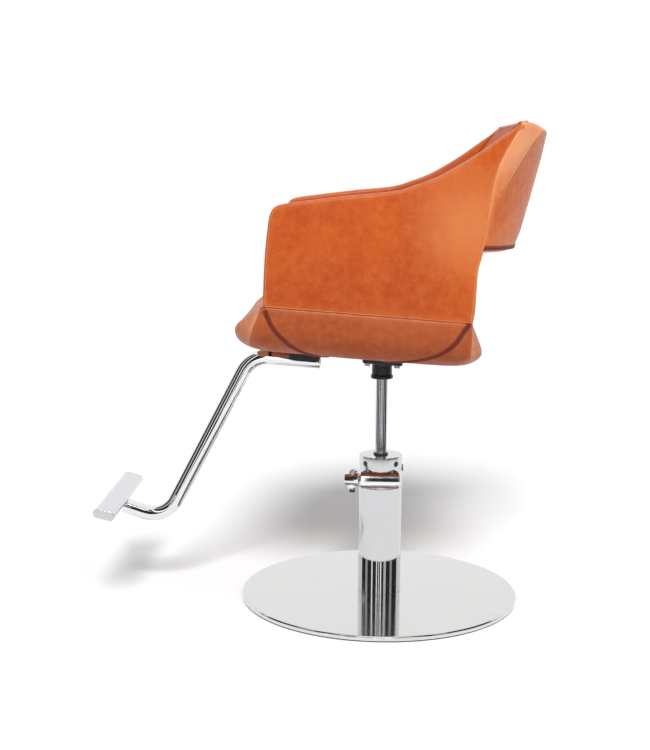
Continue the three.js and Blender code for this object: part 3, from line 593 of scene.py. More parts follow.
def build_lever():
    x, z = lever_axis()[:2]
    low, high = box_mm("lever_collar")
    small, large, bar_y, near, far = 13.5, 17.0, -64.0, low[1], high[1]
    cone = turned([[AXIS, near], [small - 4, near, True], [small - 3, near + 1], [small - 0.8, near, True],
                   [small, near + 1.2, True], [large, far - 1.5, True], [large - 1, far, True],
                   [8.4, far], [8.4, far - 5], [AXIS, far - 5]], 0.6, 96)
    boss = turned([[AXIS, z - 22.5], [8.5, z - 22.5, True], [12.5, z - 14], [8.5, z + 21.5, True],
                   [5.2, z + 21.5, True], [4.2, z + 20], [AXIS, z + 20]], 0.8, 64)
    shells = [moved(cone, at(x, 0, z) @ ALONG_Y), moved(boss, at(x, bar_y, 0))]
    solid("lever_collar_fine", shells, "lever", CHROME, "lever_collar")

    along_bar = at(x, bar_y, z) @ Matrix.Rotation(-LEVER_DROOP, 4, "Y") @ ALONG_X
    length, grip = 205.0, 60.0
    solid("lever_bar_fine", [moved(rod(7, -length, 12, 1.5, 64), along_bar)], "lever", CHROME, "lever_bar")

    radius, outer_end, inner_end = 8.5, -length - 5, -length + grip
    profile = [[AXIS, outer_end], [radius - 2, outer_end, True], [radius, outer_end + 3, True]]
    for k in range(1, 9):
        place = outer_end + (inner_end - outer_end) * k / 9
        profile += [[radius, place - 1.3], [radius - 0.8, place, True], [radius, place + 1.3]]
    profile += [[radius, inner_end, True], [7.2, inner_end], [7.2, inner_end - 3], [AXIS, inner_end - 3]]
    solid("lever_grip_fine", [moved(turned(profile, 0.7, 64), along_bar)], "lever", RUBBER, "lever_grip")

    low, high = box_mm("lever_clamp_bolt")
    foot, top = low[2], high[2]
    stub = turned([[AXIS, foot + 2.5], [3.4, foot + 2.5], [3.8, foot, True], [7, foot, True],
                   [7, foot + 6, True], [3, foot + 6.3], [3, top, True], [AXIS, top]], 0.6, 48)
    solid("clamp_bolt_fine", [moved(stub, at(x, bar_y, 0))], "lever", DARK_STEEL, "lever_clamp_bolt")


def hexagon(radius):
    return np.array([[radius * math.cos(a), radius * math.sin(a)] for a in np.arange(6) * math.pi / 3])


def build_hub():
    plate = prism(rounded_box(-82, 82, -45, 45, 14), 5.0, 14.0, 1.4)
    upright = SEAT_FRAME.inverted() @ at(0, 0, SEAT_HEIGHT)
    neck = turned([[14.4, -37.5], [25.5, -37.5, True], [25.5, -32, True], [23, -27.5, True], [23, -4, True],
                   [31, 8], [14.4, 9]], 1.6, 96, loop=True)
    ribs = []
    for side in (-1, 1):
        web = prism([(side * x, z) for x, z in ((20, 6), (64, 6), (64, 3), (24, -13), (20, -13))], -4, 4, 1.0)
        ribs.append(moved(web, Matrix.Rotation(math.pi / 2, 4, "X")))
    solid("hub_fine", [plate, moved(neck, upright), *ribs], "seat", BLACK, "seat_hub", SEAT_FRAME)

    washer = turned([[4.2, 3.1], [9.5, 3.1, True], [9.5, 4.7, True], [4.2, 4.7]], 0.3, 48, loop=True)
    head = prism(hexagon(7.5), -2.4, 3.1, 0.7)
    shank = turned([[AXIS, 2], [4, 2], [4, 44, True], [AXIS, 44]], 0.5, 32)
    for i, (x, y) in enumerate([(-62, -33), (62, -33), (62, 33), (-62, 33)]):
        shells = [moved(part, at(x, y, 0)) for part in (washer, head, shank)]
        solid(f"hub_bolt_{i + 1}_fine", shells, "seat", BOLT_STEEL, f"hub_bolt_{i + 1}", SEAT_FRAME)


# The footrest tube's straight runs meet at these points, as (y, z) in the seat frame.
TUBE_RUNS = [(-139.6, -10.4), (-298.0, -10.4), (-470.2, -410.4), (-570.5, -385.4)]
TUBE_R, TUBE_WALL, TUBE_BEND = 17.0, 2.5, 62.0
BAR_PLACE = at(0, -583, -363.6) @ Matrix.Rotation(math.radians(-10), 4, "X")
BAR_WIDTH, BAR_HEIGHT, BAR_HALF, CAP = 48.0, 20.0, 180.0, 2.5


def tube_line():
    """The tube's centre line: its straight runs with a bend between each two."""
    corners = [np.array(p) for p in TUBE_RUNS]
    line = [corners[0]]
    for before, here, after in zip(corners, corners[1:], corners[2:]):
        arc = fillet(before, here, after, TUBE_BEND, 24)
        line += list(np.linspace(line[-1], arc[0], 12)[1:-1]) + arc
    line += list(np.linspace(line[-1], corners[-1], 10)[1:])
    return np.array([[0, y, z] for y, z in line])


def build_tube():
    """The bent tube, open at the end that lies in the bracket."""
    line = tube_line()
    inward = np.array([0, -1.0, 0])
    depths = (40, 20, 3, 0.8, 0.2, 0, 0.4, 1.0)          # down the bore and back over the mouth's edge
    path = np.vstack([line[0] + inward * d for d in depths] + [line[1:]])
    inner = TUBE_R - TUBE_WALL
    radii = [inner] * 4 + [inner + 0.5, TUBE_R - 0.7, TUBE_R - 0.15, TUBE_R] + [TUBE_R] * (len(line) - 1)
    tangents = np.vstack([[inward] * len(depths), np.gradient(line, axis=0)[1:]])
    across = np.array([1.0, 0, 0])
    rings = []
    for p, r, t in zip(path, radii, tangents):
        normal = np.cross(across, t / np.linalg.norm(t))
        rings.append([tuple(p + r * (math.cos(a) * across + math.sin(a) * normal))
                      for a in np.linspace(0, 2 * math.pi, 72, endpoint=False)])
    solid("footrest_tube_fine", [rings_to_shell(rings)], "seat", CHROME, "footrest_tube", SEAT_FRAME)


def obround(width, height):
    r = height / 2
    flat = width / 2 - r
    ends = [(flat, a) for a in np.linspace(-math.pi / 2, math.pi / 2, 17)]
    ends += [(-flat, a) for a in np.linspace(math.pi / 2, 1.5 * math.pi, 17)]
    return np.array([[c + r * math.cos(a), r * math.sin(a)] for c, a in ends])


def build_bar():
    across = BAR_PLACE @ Matrix(((0, 0, 1, 0), (1, 0, 0, 0), (0, 1, 0, 0), (0, 0, 0, 1)))
    outline = obround(BAR_WIDTH, BAR_HEIGHT)
    half = BAR_HALF - CAP - 0.4
    bar = moved(prism(outline, -half, half, 0.3), across)
    solid("footrest_bar_fine", [bar], "seat", SATIN, "footrest_bar", SEAT_FRAME)
    for name, side in SIDES:
        low, high = sorted((side * (BAR_HALF - CAP), side * BAR_HALF))
        cap = moved(prism(outline, low, high, 0.8), across)
        solid(f"bar_cap_{name}", [cap], "seat", SATIN, f"bar_end_cap_{name}", SEAT_FRAME)


def build_bracket():
    plate = prism(rounded_box(-46, 46, -213, -141, 6), 17, 23.4, 0.8)
    half, low, high = 24.0, -9.0, 18.0
    axis_z, groove_r = TUBE_RUNS[0][1], TUBE_R + 0.3
    groove = [(groove_r * math.cos(a), axis_z + groove_r * math.sin(a))
              for a in np.linspace(math.pi - 0.08, 0.08, 25)]
    saddle = prism([(half, low), (half, high), (-half, high), (-half, low)] + groove, 0, 68, 0.8)
    stand = Matrix(((1, 0, 0, 0), (0, 0, -1, -143), (0, 1, 0, 0), (0, 0, 0, 1)))
    shells = [plate, moved(saddle, stand)]
    solid("footrest_bracket_fine", shells, "seat", BLACK, "footrest_bracket", SEAT_FRAME)

    head = turned([[AXIS, 13.5], [3, 13.5], [3.4, 11.8, True], [6.0, 11.8, True], [6.5, 13, True],
                   [6.5, 16.7, True], [4, 16.7], [4, 44, True], [AXIS, 44]], 0.5, 48)
    for i, (x, y) in enumerate([(35, -200), (35, -154), (-35, -200), (-35, -154)]):
        name = f"footrest_bolt_{i + 1}"
        solid(f"{name}_fine", [moved(head, at(x, y, 0))], "seat", BOLT_STEEL, name, SEAT_FRAME)


# ---------------------------------------------------------------- upholstery outlines
# Side outlines of the left half, as (y, z) in the seat frame.
ARM_FRONT = [(-256, ARM_SEAM), (-259, 160), (-261, 240), (-259, 300), (-256, 325), (-246, 340)]
ARM_TOP = [(-246, 340), (-222, 348), (-198, 353), (-98, 373), (-8, 389), (40, 407), (80, 426), (117, 450),
           (155, 478), (195, 511), (236, 544)]
REAR_SEAM = [(173, ARM_SEAM), (175, 160), (174, 205), (174, 246), (181, 287), (186, 378), (198, 459),
             (236, 544)]
INNER_SEAM = [(150, 112), (150, 285), (157, 378), (177, 459), (228, 543)]
FRONT_ARC = [(-257, 136), (-246, 112), (-234, 91), (-216, 72), (-198, 56), (-180, 44), (-158, 35), (-120, 27)]
REAR_ARC = [(175, 142), (159, 119), (140, 87), (110, 61), (74, 45), (38, 35), (0, 27)]
# Half width, front and rear of the lower body at each height.
HULL = [(150, 26), (176, 28.5), (201, 33), (224, 41), (243, 51), (258, 65), (268, 80), (275, 100),
        (278.6, 121), (279.5, 140), (279.5, 160)]
NOSE = [(-262, 24), (-278, 28), (-293, 35), (-306, 45), (-315, 56), (-319, 70), (-318, 84), (-313, 98),
        (-304, 110), (-291, 121), (-275, 130), (-258, 137), (-244, 141)]
NOSE_DIP = 24.0                              # the nose's top is this much lower in the middle
TAIL = [(150, 24), (172, 28), (187, 36), (196, 45), (203, 54), (206, 64), (203, 76), (196, 92), (188, 108),
        (181, 122), (175, 136), (166, 148)]
SIDES = (("left", 1), ("right", -1))


def level_table(points):
    """A lookup of the first value by height, along a smooth curve through the points."""
    curve = smooth_curve(points)
    order = np.argsort(curve[:, 1])
    return lambda z: np.interp(z, curve[order, 1], curve[order, 0])


hull_half = level_table(HULL)
nose_y = level_table(NOSE)
tail_y = level_table(TAIL)
front_arc_y = level_table(FRONT_ARC)
rear_arc_y = level_table(REAR_ARC)
rear_seam_y = level_table(REAR_SEAM)
inner_seam_y = level_table(INNER_SEAM)


def tub_half(y, z):
    """Half width of the tub's outer skin."""
    lean = LEAN * np.maximum(z - BACK_BOTTOM, 0)
    run = np.clip((y - lean - STRAIGHT_TO) / (SEAM_Y - STRAIGHT_TO), 0, 1.3)
    flat = HALF_WIDTH - (HALF_WIDTH - SEAM_WIDTH) * run ** 2
    return flat * np.minimum(hull_half(z) / hull_half(HULL[-1][1]), 1)


def inner_half(y, z):
    """Half width of the tub's inner skin, easing towards the inner back."""
    run = np.clip((y - 40) / 190, 0, 1)
    return INNER_WIDTH - 8 * run ** 1.5 + 6 * np.clip((z - 450) / 100, 0, 1)


def on_skin(half_width, line):
    """Points of (y, z) laid on the skin whose half width is given."""
    y, z = line[..., 0], line[..., 1]
    return np.stack([half_width(y, z), y, z], -1)


def clustered(count, share=0.5):
    """Even shares from 0 to 1, drawn towards both ends."""
    t = np.linspace(0, 1, count)
    return (1 - share) * t + share * (1 - np.cos(math.pi * t)) / 2


def coons(low, high, start, end, nu, nv):
    """A grid filling four boundary curves."""
    u, v = clustered(nu), clustered(nv)
    low, high = (resampled(smooth_curve(c), u)[:, None] for c in (low, high))
    start, end = (resampled(smooth_curve(c), v)[None] for c in (start, end))
    u, v = u[:, None, None], v[None, :, None]
    ruled = (1 - v) * low + v * high + (1 - u) * start + u * end
    corners = ((1 - u) * (1 - v) * low[0, 0] + u * (1 - v) * low[-1, 0]
               + (1 - u) * v * high[0, 0] + u * v * high[-1, 0])
    return ruled - corners


# ---------------------------------------------------------------- upholstery panels
class Panel:
    """A sewn leather panel: its edges roll in to the seam, and it puffs between them."""

    def __init__(self, grid, rolled=(1, 1, 1, 1), puff=0.0, edge=EDGE, thick=3.0, flip=False):
        normal = unit(np.cross(np.gradient(grid, axis=0), np.gradient(grid, axis=1)))
        if flip:
            normal = -normal
        step_u = np.linalg.norm(np.diff(grid, axis=0), axis=2)
        step_v = np.linalg.norm(np.diff(grid, axis=1), axis=2)
        run_u = np.vstack([np.zeros((1, grid.shape[1])), np.cumsum(step_u, 0)])
        run_v = np.hstack([np.zeros((grid.shape[0], 1)), np.cumsum(step_v, 1)])
        self.runs = (run_u, run_u[-1] - run_u, run_v, run_v[:, -1:] - run_v)
        sink = np.zeros(grid.shape[:2])
        rim = np.full(grid.shape[:2], 1e3)
        for run, share in zip(self.runs, rolled):
            if share:
                reach = edge * share
                d = np.clip(run + 0.29 * reach, 0, reach)
                sink += reach - np.sqrt(reach ** 2 - (reach - d) ** 2)
                sink += 0.9 * np.exp(-(run / 2.2) ** 2)
                rim = np.minimum(rim, run)
        across = 4 * (run_u * self.runs[1]) / (run_u[-1] ** 2 + 1e-9)
        along = 4 * (run_v * self.runs[3]) / (run_v[:, -1:] ** 2 + 1e-9)
        swell = puff * np.sqrt(np.clip(across * along, 0, 1))
        self.outer = grid - normal * (sink - swell)[:, :, None]
        self.normal = normal
        self.rim = np.exp(-rim / 7.0)
        self.thick = thick
        self.flip = flip

    def shell(self):
        """A closed sheet: outer face, inner face and the edges between them."""
        nu, nv = self.outer.shape[:2]
        inner = self.outer - self.normal * self.thick
        points = np.vstack([self.outer.reshape(-1, 3), inner.reshape(-1, 3)])
        number = np.arange(nu * nv).reshape(nu, nv)
        a, b, c, d = number[:-1, :-1], number[1:, :-1], number[1:, 1:], number[:-1, 1:]
        top = np.stack([a, b, c, d], -1).reshape(-1, 4)
        border = np.concatenate([number[:, 0], number[-1, 1:], number[-2::-1, -1], number[0, -2:0:-1]])
        after = np.roll(border, -1)
        under = nu * nv
        edge = np.stack([after, border, border + under, after + under], -1)
        faces = np.vstack([top, top[:, ::-1] + under, edge])
        if self.flip:
            faces = faces[:, ::-1]
        return points.tolist(), faces.tolist()

    def layer(self):
        return np.concatenate([self.rim.ravel(), self.rim.ravel()])

    def line(self, side, offset):
        """Points and normals along one side, at a distance in from it: 0 start, 1 end, 2 low, 3 high."""
        grids = (self.runs[side], self.outer, self.normal)
        if side > 1:
            grids = [np.swapaxes(grid, 0, 1) for grid in grids]
        points, normals = [], []
        for k in range(grids[0].shape[1]):
            distance, outer, normal = (grid[:, k] for grid in grids)
            order = np.argsort(distance)
            points.append([np.interp(offset, distance[order], outer[order, i]) for i in range(3)])
            normals.append([np.interp(offset, distance[order], normal[order, i]) for i in range(3)])
        return np.array(points), np.array(normals)


def mirrored(points, side):
    """Points on the sitter's left, or their mirror image."""
    return points * np.array([side, 1, 1])


def leather_piece(name, panels, looks, replaces=()):
    shells = [(*panel.shell(), number) for number, panel in enumerate(panels)]
    rim = np.concatenate([panel.layer() for panel in panels])
    piece = add_piece(name, shells, "seat", looks, SEAT_FRAME, replaces, 60, rim)


def stitches(name, lines, length=3.4, pitch=5.2, radius=0.55):
    """Thread lying in short stitches along lines of (points, normals)."""
    shells = []
    for points, normals in lines:
        span = np.linalg.norm(np.diff(points, axis=0), axis=1).sum()
        count = max(2, int(span / pitch))
        marks = resampled(np.hstack([points, normals]), np.linspace(0.004, 0.996, count * 2))
        for i in range(0, 2 * count - 1, 2):
            first, up = marks[i, :3], marks[i, 3:]
            toward = unit(marks[i + 1, :3] - first) * length
            rise = (-0.5, 0.45, 0.6, 0.45, -0.5)
            path = [first + toward * k / 4 + up * rise[k] * radius for k in range(5)]
            shells.append(rings_to_shell(swept(path, radius, 6, tuple(up))))
    solid(name, shells, "seat", THREAD, space=SEAT_FRAME)


def seam_line(name, lines, radius, look, sink):
    """Raised edges of leather, or the leather lying behind a seam."""
    shells = [cord_shell(points - normals * sink, radius) for points, normals in lines]
    solid(name, shells, "seat", look, space=SEAT_FRAME, rim=0.0)


def joined(*lines):
    """Edge lines of (points, normals) put end to end."""
    return tuple(np.vstack(part) for part in zip(*lines))


def shortened(line, share=0.02):
    """The line without its last stretch, which turns in under a corner."""
    keep = int(len(line[0]) * (1 - share)) - 1
    return line[0][:keep], line[1][:keep]


def seam_between(first, second, count=150):
    """The line midway between two panels' edges, with its outward normals."""
    shares = np.linspace(0, 1, count)
    first, second = (resampled(np.hstack(line), shares) for line in (first, second))
    middle = (first + second) / 2
    return middle[:, :3], unit(middle[:, 3:])


def surface_line(panel, path, count=24):
    """Points and normals of the panel along a path of (u, v) shares of its grid."""
    u, v = resampled(smooth_curve(path), np.linspace(0, 1, count)).T
    nu, nv = panel.outer.shape[:2]
    a, b = u * (nu - 1.001), v * (nv - 1.001)
    i, j = a.astype(int), b.astype(int)
    a, b = (a - i)[:, None], (b - j)[:, None]

    def blended(grid):
        return ((1 - a) * (1 - b) * grid[i, j] + a * (1 - b) * grid[i + 1, j]
                + (1 - a) * b * grid[i, j + 1] + a * b * grid[i + 1, j + 1])

    return blended(panel.outer), blended(panel.normal)


def piping(name, lines):
    shells = [cord_shell(line, PIPING, 12) for line in lines]
    solid(name, shells, "seat", WELT, space=SEAT_FRAME, rim=0.3)


# ---------------------------------------------------------------- arms
def band_between(outer, inner, count, crown, outward):
    """A strip between two edge lines, crowned outwards."""
    v = clustered(count)[None, :, None]
    return outer[:, None] * (1 - v) + inner[:, None] * v + outward[:, None] * (4 * v * (1 - v) * crown)


def outline_outward(line):
    """Outward direction of a side outline running front, top, back, as (0, y, z)."""
    along = unit(np.gradient(line, axis=0))
    return np.stack([np.zeros(len(line)), -along[:, 1], along[:, 0]], 1)


def build_arm(name, side):
    low = [(ARM_FRONT[0][0], ARM_SEAM), (REAR_SEAM[0][0], ARM_SEAM)]
    flat = coons(low, ARM_TOP, ARM_FRONT, REAR_SEAM, 110, 84)
    outer = Panel(mirrored(on_skin(tub_half, flat), side), (1, 0.35, 0.1, 1), 4.5, flip=side < 0)

    inner_low = [(ARM_FRONT[0][0], INNER_SEAM[0][1]), INNER_SEAM[0]]
    inner_top = ARM_TOP[:-1] + INNER_SEAM[-1:]
    flat = coons(inner_low, inner_top, ARM_FRONT, INNER_SEAM, 80, 50)
    inner = Panel(mirrored(on_skin(inner_half, flat), side), (1, 0.4, 0, 1), 3.0, flip=side > 0)

    edge = smooth_curve(ARM_FRONT + ARM_TOP[1:], 170)
    strip = band_between(on_skin(tub_half, edge), on_skin(inner_half, edge), 22, 1.5, outline_outward(edge))
    band = Panel(mirrored(strip, side), (0, 0.3, 1, 1), flip=side < 0)

    rear_out = on_skin(tub_half, smooth_curve([p for p in REAR_SEAM if p[1] <= 290], 60))
    rear_in = rear_out + np.array([2 - ARM_THICK, -24, 0])
    outward = np.tile([0.3, 0.95, 0], (60, 1))
    strip = band_between(rear_in, rear_out, 14, 3.0, outward)
    heel = Panel(mirrored(strip, side), (0, 0, 1, 1), flip=side < 0)
    leather_piece(f"arm_{name}", [outer, inner, band, heel], [ORANGE] * 4,
                  [f"arm_pad_{name}"])
    return {
        "outer": outer,
        "top_out": seam_between(joined(outer.line(0, 0), outer.line(3, 0)), band.line(2, 0)),
        "top_in": seam_between(joined(inner.line(0, 0), inner.line(3, 0)), band.line(3, 0)),
        "rear": outer.line(1, 0),
        "low": outer.line(2, 0),
    }


# ---------------------------------------------------------------- lower body
NOSE_SEAM = [(-262, 140), (-268, 118), (-277, 90), (-284, 60), (-289, 38), (-290, 24)]
TAIL_SEAM = [(176, 140), (177, 120), (179, 90), (180, 60), (178, 38), (172, 24)]


def end_outline(z, nose):
    """Half of one level of the nose or tail: from the piping round to the middle."""
    sign = -1 if nose else 1
    end = float(nose_y(z) if nose else tail_y(z))
    start = float(front_arc_y(z) if nose else rear_arc_y(z))
    start = min(start, end - 6) if sign > 0 else max(start, end + 6)
    half = float(tub_half(start, z))
    depth = 62.0 if nose else 66.0
    width = min(66.0 if nose else 74.0, half * 0.55)
    corner = end - sign * depth
    if sign * (corner - start) < 4:
        corner = start + sign * 4
    turn = []
    for a in np.linspace(0, math.pi / 2, 60):
        x = half - width + width * math.cos(a) ** 0.87
        y = corner + (end - corner) * math.sin(a) ** 0.87
        turn.append((x, y, z))
    return np.array([(half, start, z)] + turn + [(0.0, end, z)])


def end_panels(levels, nose, seam_y):
    """Grids of the left side piece and of the end piece, parted at the seam, level by level."""
    sign = -1 if nose else 1
    side_rows, end_rows = [], []
    for z in levels:
        line = end_outline(z, nose)
        run = np.concatenate([[0], np.cumsum(np.linalg.norm(np.diff(line, axis=0), axis=1))])
        first, last = sign * line[0, 1], sign * line[-1, 1]
        wanted = np.clip(sign * seam_y(z), first + 2, first + 0.88 * (last - first))
        share = np.interp(wanted, sign * line[:, 1], run) / run[-1]
        side_rows.append(resampled(line, share * clustered(36, 0.2)))
        half = resampled(line, share + (1 - share) * np.linspace(0, 1, 60))
        end_rows.append(np.vstack([half, half[-2::-1] * [-1, 1, 1]]))
    side_rows, end_rows = np.array(side_rows), np.array(end_rows)
    if nose:
        for grid in (side_rows, end_rows):
            high = np.clip((grid[..., 2] - 78) / 60, 0, 1)
            grid[..., 2] -= NOSE_DIP * high * (2 - high) * (1 - (grid[..., 0] / HALF_WIDTH) ** 4)
    return side_rows, end_rows


def hull_surface(y_from, y_to, levels, count):
    """The side of the lower body between two lines of y, level by level."""
    u = clustered(count, 0.4)
    rows = []
    for z in levels:
        y = y_from(z) + (y_to(z) - y_from(z)) * u
        rows.append(on_skin(tub_half, np.stack([y, np.full(count, z)], 1)))
    return np.array(rows)


def build_lower_sides():
    levels = smooth_curve(HULL)
    run = resampled(levels[levels[:, 1] <= ARM_SEAM + 0.3], clustered(64, 0.3))[:, 1]
    grid = hull_surface(front_arc_y, rear_arc_y, run, 90)
    sides = [Panel(mirrored(grid, side), (0, 0.1, 0.3, 0.3), 1.5, flip=side > 0) for _, side in SIDES]
    leather_piece("lower_side_panels", sides, [BOAT, BOAT])


def build_end(name, points, seam, nose):
    """The nose or the tail with its cheeks. Gives the end's panel and its two seams."""
    levels = resampled(smooth_curve(points), clustered(60, 0.2))[:, 1]
    levels = levels[(levels < 138) & (np.gradient(levels) > 0)]
    side_grid, end_grid = end_panels(levels, nose, level_table(seam))
    rolled = (0, 0, 0.3, 0.3)
    cheeks = [Panel(mirrored(side_grid, side), rolled, flip=(side < 0) == nose) for _, side in SIDES]
    end = Panel(end_grid, rolled, flip=not nose)
    # The end panel takes the paler tan leather: painted light, for the side light these ends catch, though
    # they are the same hide as the sides.
    leather_piece(f"{name}_panel", cheeks + [end], [BOAT, BOAT, TAN])
    return end, [seam_between(cheek.line(3, 0), end.line(edge, 0), 60) for cheek, edge in zip(cheeks, (2, 3))]


def build_underside():
    board = prism(rounded_box(-BOARD_HALF, BOARD_HALF, -247, 160, 8), 31, 48, 0.6)
    solid("seat_board_fine", [board], "seat", PLYWOOD, "seat_board", SEAT_FRAME)
    outline = rounded_outline([(-148, -254, 80), (148, -254, 80), (148, 146, 60), (-148, 146, 60)], 12)
    cover = prism(outline, 23.6, 27, 1)
    solid("underside_cover", [cover], "seat", BOAT, "underside_panel", SEAT_FRAME, 0.0)


def build_ledges():
    """Leather that closes the tub under the cushion's edges."""
    lids = [prism(rounded_box(-262, 262, *ends, 12), 122, 131, 1) for ends in ((-266, -238), (120, 176))]
    for side in (1, -1):
        inner, outer = sorted((side * 205, side * (INNER_WIDTH + 2)))
        lids.append(prism(rounded_box(inner, outer, -240, 150, 3), 100, 108, 1))
    solid("inner_ledges", lids, "seat", TAN, space=SEAT_FRAME, rim=0.0)


def build_side_piping():
    """Double piping along the arcs where the side panels meet the nose and the tail."""
    lines = []
    for arc in (FRONT_ARC, REAR_ARC):
        curve = smooth_curve(arc, 84)[4:]
        points = on_skin(tub_half, curve)
        slope = (hull_half(curve[:, 1] + 1) - hull_half(curve[:, 1] - 1)) / 2
        normal = unit(np.stack([np.ones_like(slope), np.zeros_like(slope), -slope], 1))
        across = np.cross(unit(np.gradient(points, axis=0)), normal)
        for offset in (-0.98, 0.98):
            line = points + across * offset * PIPING + normal * 0.25 * PIPING
            lines += [mirrored(line, side) for _, side in SIDES]
    piping("side_piping", lines)


# ---------------------------------------------------------------- seat cushion
def cushion_form(half, front, rear, low, high):
    """The cushion before it swells: a slab with rounded edges and a front that falls away."""
    outline = rounded_outline([(-half, front, 30), (half, front, 30), (half, rear, 34), (-half, rear, 34)], 8)
    low_round, high_round, drop = 14, 20, 24
    rings = []
    for k in range(9):
        rise, draw = (1 - math.cos(math.pi / 2 * k / 8)), (1 - math.sin(math.pi / 2 * k / 8))
        rings.append([(x, y, low + low_round * rise) for x, y in inset(outline, low_round * draw)])
    for k in range(9):
        rise, draw = (1 - math.sin(math.pi / 2 * k / 8)), (1 - math.cos(math.pi / 2 * k / 8))
        rings.append([(x, y, high - high_round * rise) for x, y in inset(outline, high_round * draw)])
    points, faces = rings_to_shell(rings)
    fallen = [(x, y, z - drop * np.clip((-150 - y) / 110, 0, 1) ** 2 * np.clip((z - low) / 60, 0, 1))
              for x, y, z in points]
    form = added("seat_cushion_top", new_mesh("cushion_form", [Vector(p) * MM for p in fallen], faces))
    remesh = form.modifiers.new("remesh", "REMESH")
    remesh.mode = "VOXEL"
    remesh.voxel_size = 0.0065
    form.data = applied(form)
    return form


def build_cushion():
    half, front, rear, low, high = INNER_WIDTH - 1, -260.0, 168.0, 62.0, 143.0
    form = cushion_form(half, front, rear, low, high)
    rest = coordinates(form.data)
    crowned = inflated(form, rest)
    overlap, lap_height = 0.5, 120.0             # it presses this far into the arms, measured at this height
    wall = (inner_half(crowned[:, 1] / MM, lap_height) + overlap) * MM
    crowned[:, 0] = np.clip(crowned[:, 0] * CUSHION_SPREAD, -wall, wall)
    form.data.vertices.foreach_set("co", crowned.ravel())
    smooth = form.modifiers.new("smooth", "CORRECTIVE_SMOOTH")
    smooth.iterations = 4
    smooth.use_only_smooth = True
    finer = form.modifiers.new("finer", "SUBSURF")
    finer.levels = finer.render_levels = 1
    form.data = applied(form)
    form.data.transform(SEAT_FRAME_METRES)
    form.data.polygons.foreach_set("use_smooth", [True] * len(form.data.polygons))
    form.data.attributes.new("rim", "FLOAT", "POINT")
    form.data.materials.append(TAN)
    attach(form, "seat")
    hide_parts("seat_cushion")


def coordinates(mesh):
    co = np.zeros(len(mesh.vertices) * 3, np.float32)
    mesh.vertices.foreach_get("co", co)
    return co.reshape(-1, 3)


def applied(obj):
    """The object's mesh with its modifiers applied; the modifiers are removed."""
    graph = bpy.context.evaluated_depsgraph_get()
    graph.update()
    mesh = bpy.data.meshes.new_from_object(obj.evaluated_get(graph))
    mesh.name = obj.name
    obj.modifiers.clear()
    return mesh


def crown(rest, half, front, rear, high):
    """A quick stand-in for the simulated cushion: a low crown on the top."""
    out = rest.copy()
    middle = (front + rear) / 2
    x = np.clip(1 - (rest[:, 0] / half) ** 2, 0, 1)
    y = np.clip(1 - ((rest[:, 1] - middle) / ((rear - front) / 2)) ** 2, 0, 1)
    top = np.clip((rest[:, 2] - 0.1) / (high - 0.1), 0, 1)
    out[:, 2] += 0.012 * np.sqrt(x * y) * top
    return out


def inflated(form, rest, frames=20, cap=0.013):
    """The form after a short cloth simulation under pressure, with each point's travel capped."""
    cloth = form.modifiers.new("cloth", "CLOTH")
    settings = cloth.settings
    settings.quality = 6
    settings.mass = 0.35
    settings.use_pressure = True
    settings.uniform_pressure_force = 4
    settings.effector_weights.gravity = 0
    settings.tension_stiffness = 25
    settings.compression_stiffness = 25
    settings.bending_stiffness = 2
    scene = bpy.context.scene
    for number in range(1, frames + 1):
        scene.frame_set(number)
    graph = bpy.context.evaluated_depsgraph_get()
    puffed = form.evaluated_get(graph).to_mesh()
    travel = coordinates(puffed) - rest
    form.modifiers.clear()
    scene.frame_set(1)
    length = np.linalg.norm(travel, axis=1, keepdims=True)
    return rest + travel * np.minimum(1, cap / (length + 1e-9))


# ---------------------------------------------------------------- backrest
def back_seams(z):
    """Half width and y of the gusset's rear seam at height z."""
    seam = rear_seam_y(z)
    widen = np.interp(z, [285, 330, 372, 410, 460, 500, 536], [0, 3, 10, 26, 42, 46, 50])
    return tub_half(seam, z) - 0.85 * widen, seam + widen


def outer_back_y(x, half, end_y, z):
    middle = np.interp(z, [275, 291, 321, 400, 478, 533, 545], [264, 267, 275, 289, 303, 310, 311])
    return middle - (middle - end_y) * np.abs(x / half) ** 2.3


def inner_back_y(x, z):
    middle = 220 + 42 * np.clip((z - BACK_BOTTOM) / 268, 0, 1)
    return middle - (middle - inner_seam_y(z)) * np.abs(x / (INNER_WIDTH - 6)) ** 2.3


def corner_round(z):
    """How far the outer back's ends draw in towards its rounded top corners."""
    rise = np.clip((z - (BACK_TOP - BACK_CORNER)) / BACK_CORNER, 0, 1)
    return BACK_CORNER * (1 - np.sqrt(1 - rise ** 2))


def outer_back(share, z):
    """Points of the back's outer skin: share runs from -1 to 1 across it, z up."""
    half, end_y = back_seams(z)
    x = (half - corner_round(z)) * share
    crest = 4 * (1 - (x / half) ** 2) * (z - BACK_BOTTOM) / (BACK_TOP - BACK_BOTTOM)
    return np.stack(np.broadcast_arrays(x, outer_back_y(x, half, end_y, z), z + crest), -1)


def inner_back(share, z):
    half = INNER_WIDTH - 6
    x = (half + 5 * np.clip((z - 450) / 100, 0, 1)) * share
    y = inner_back_y(np.clip(x, -half, half), z)
    crest = 11 * (1 - (x / half) ** 2) * (z - INNER_BOTTOM) / (INNER_TOP - INNER_BOTTOM)
    return np.stack(np.broadcast_arrays(x, y, z + crest), -1)


def other_side(line):
    """The line's mirror image, run backwards."""
    return mirrored(line, -1)[::-1]


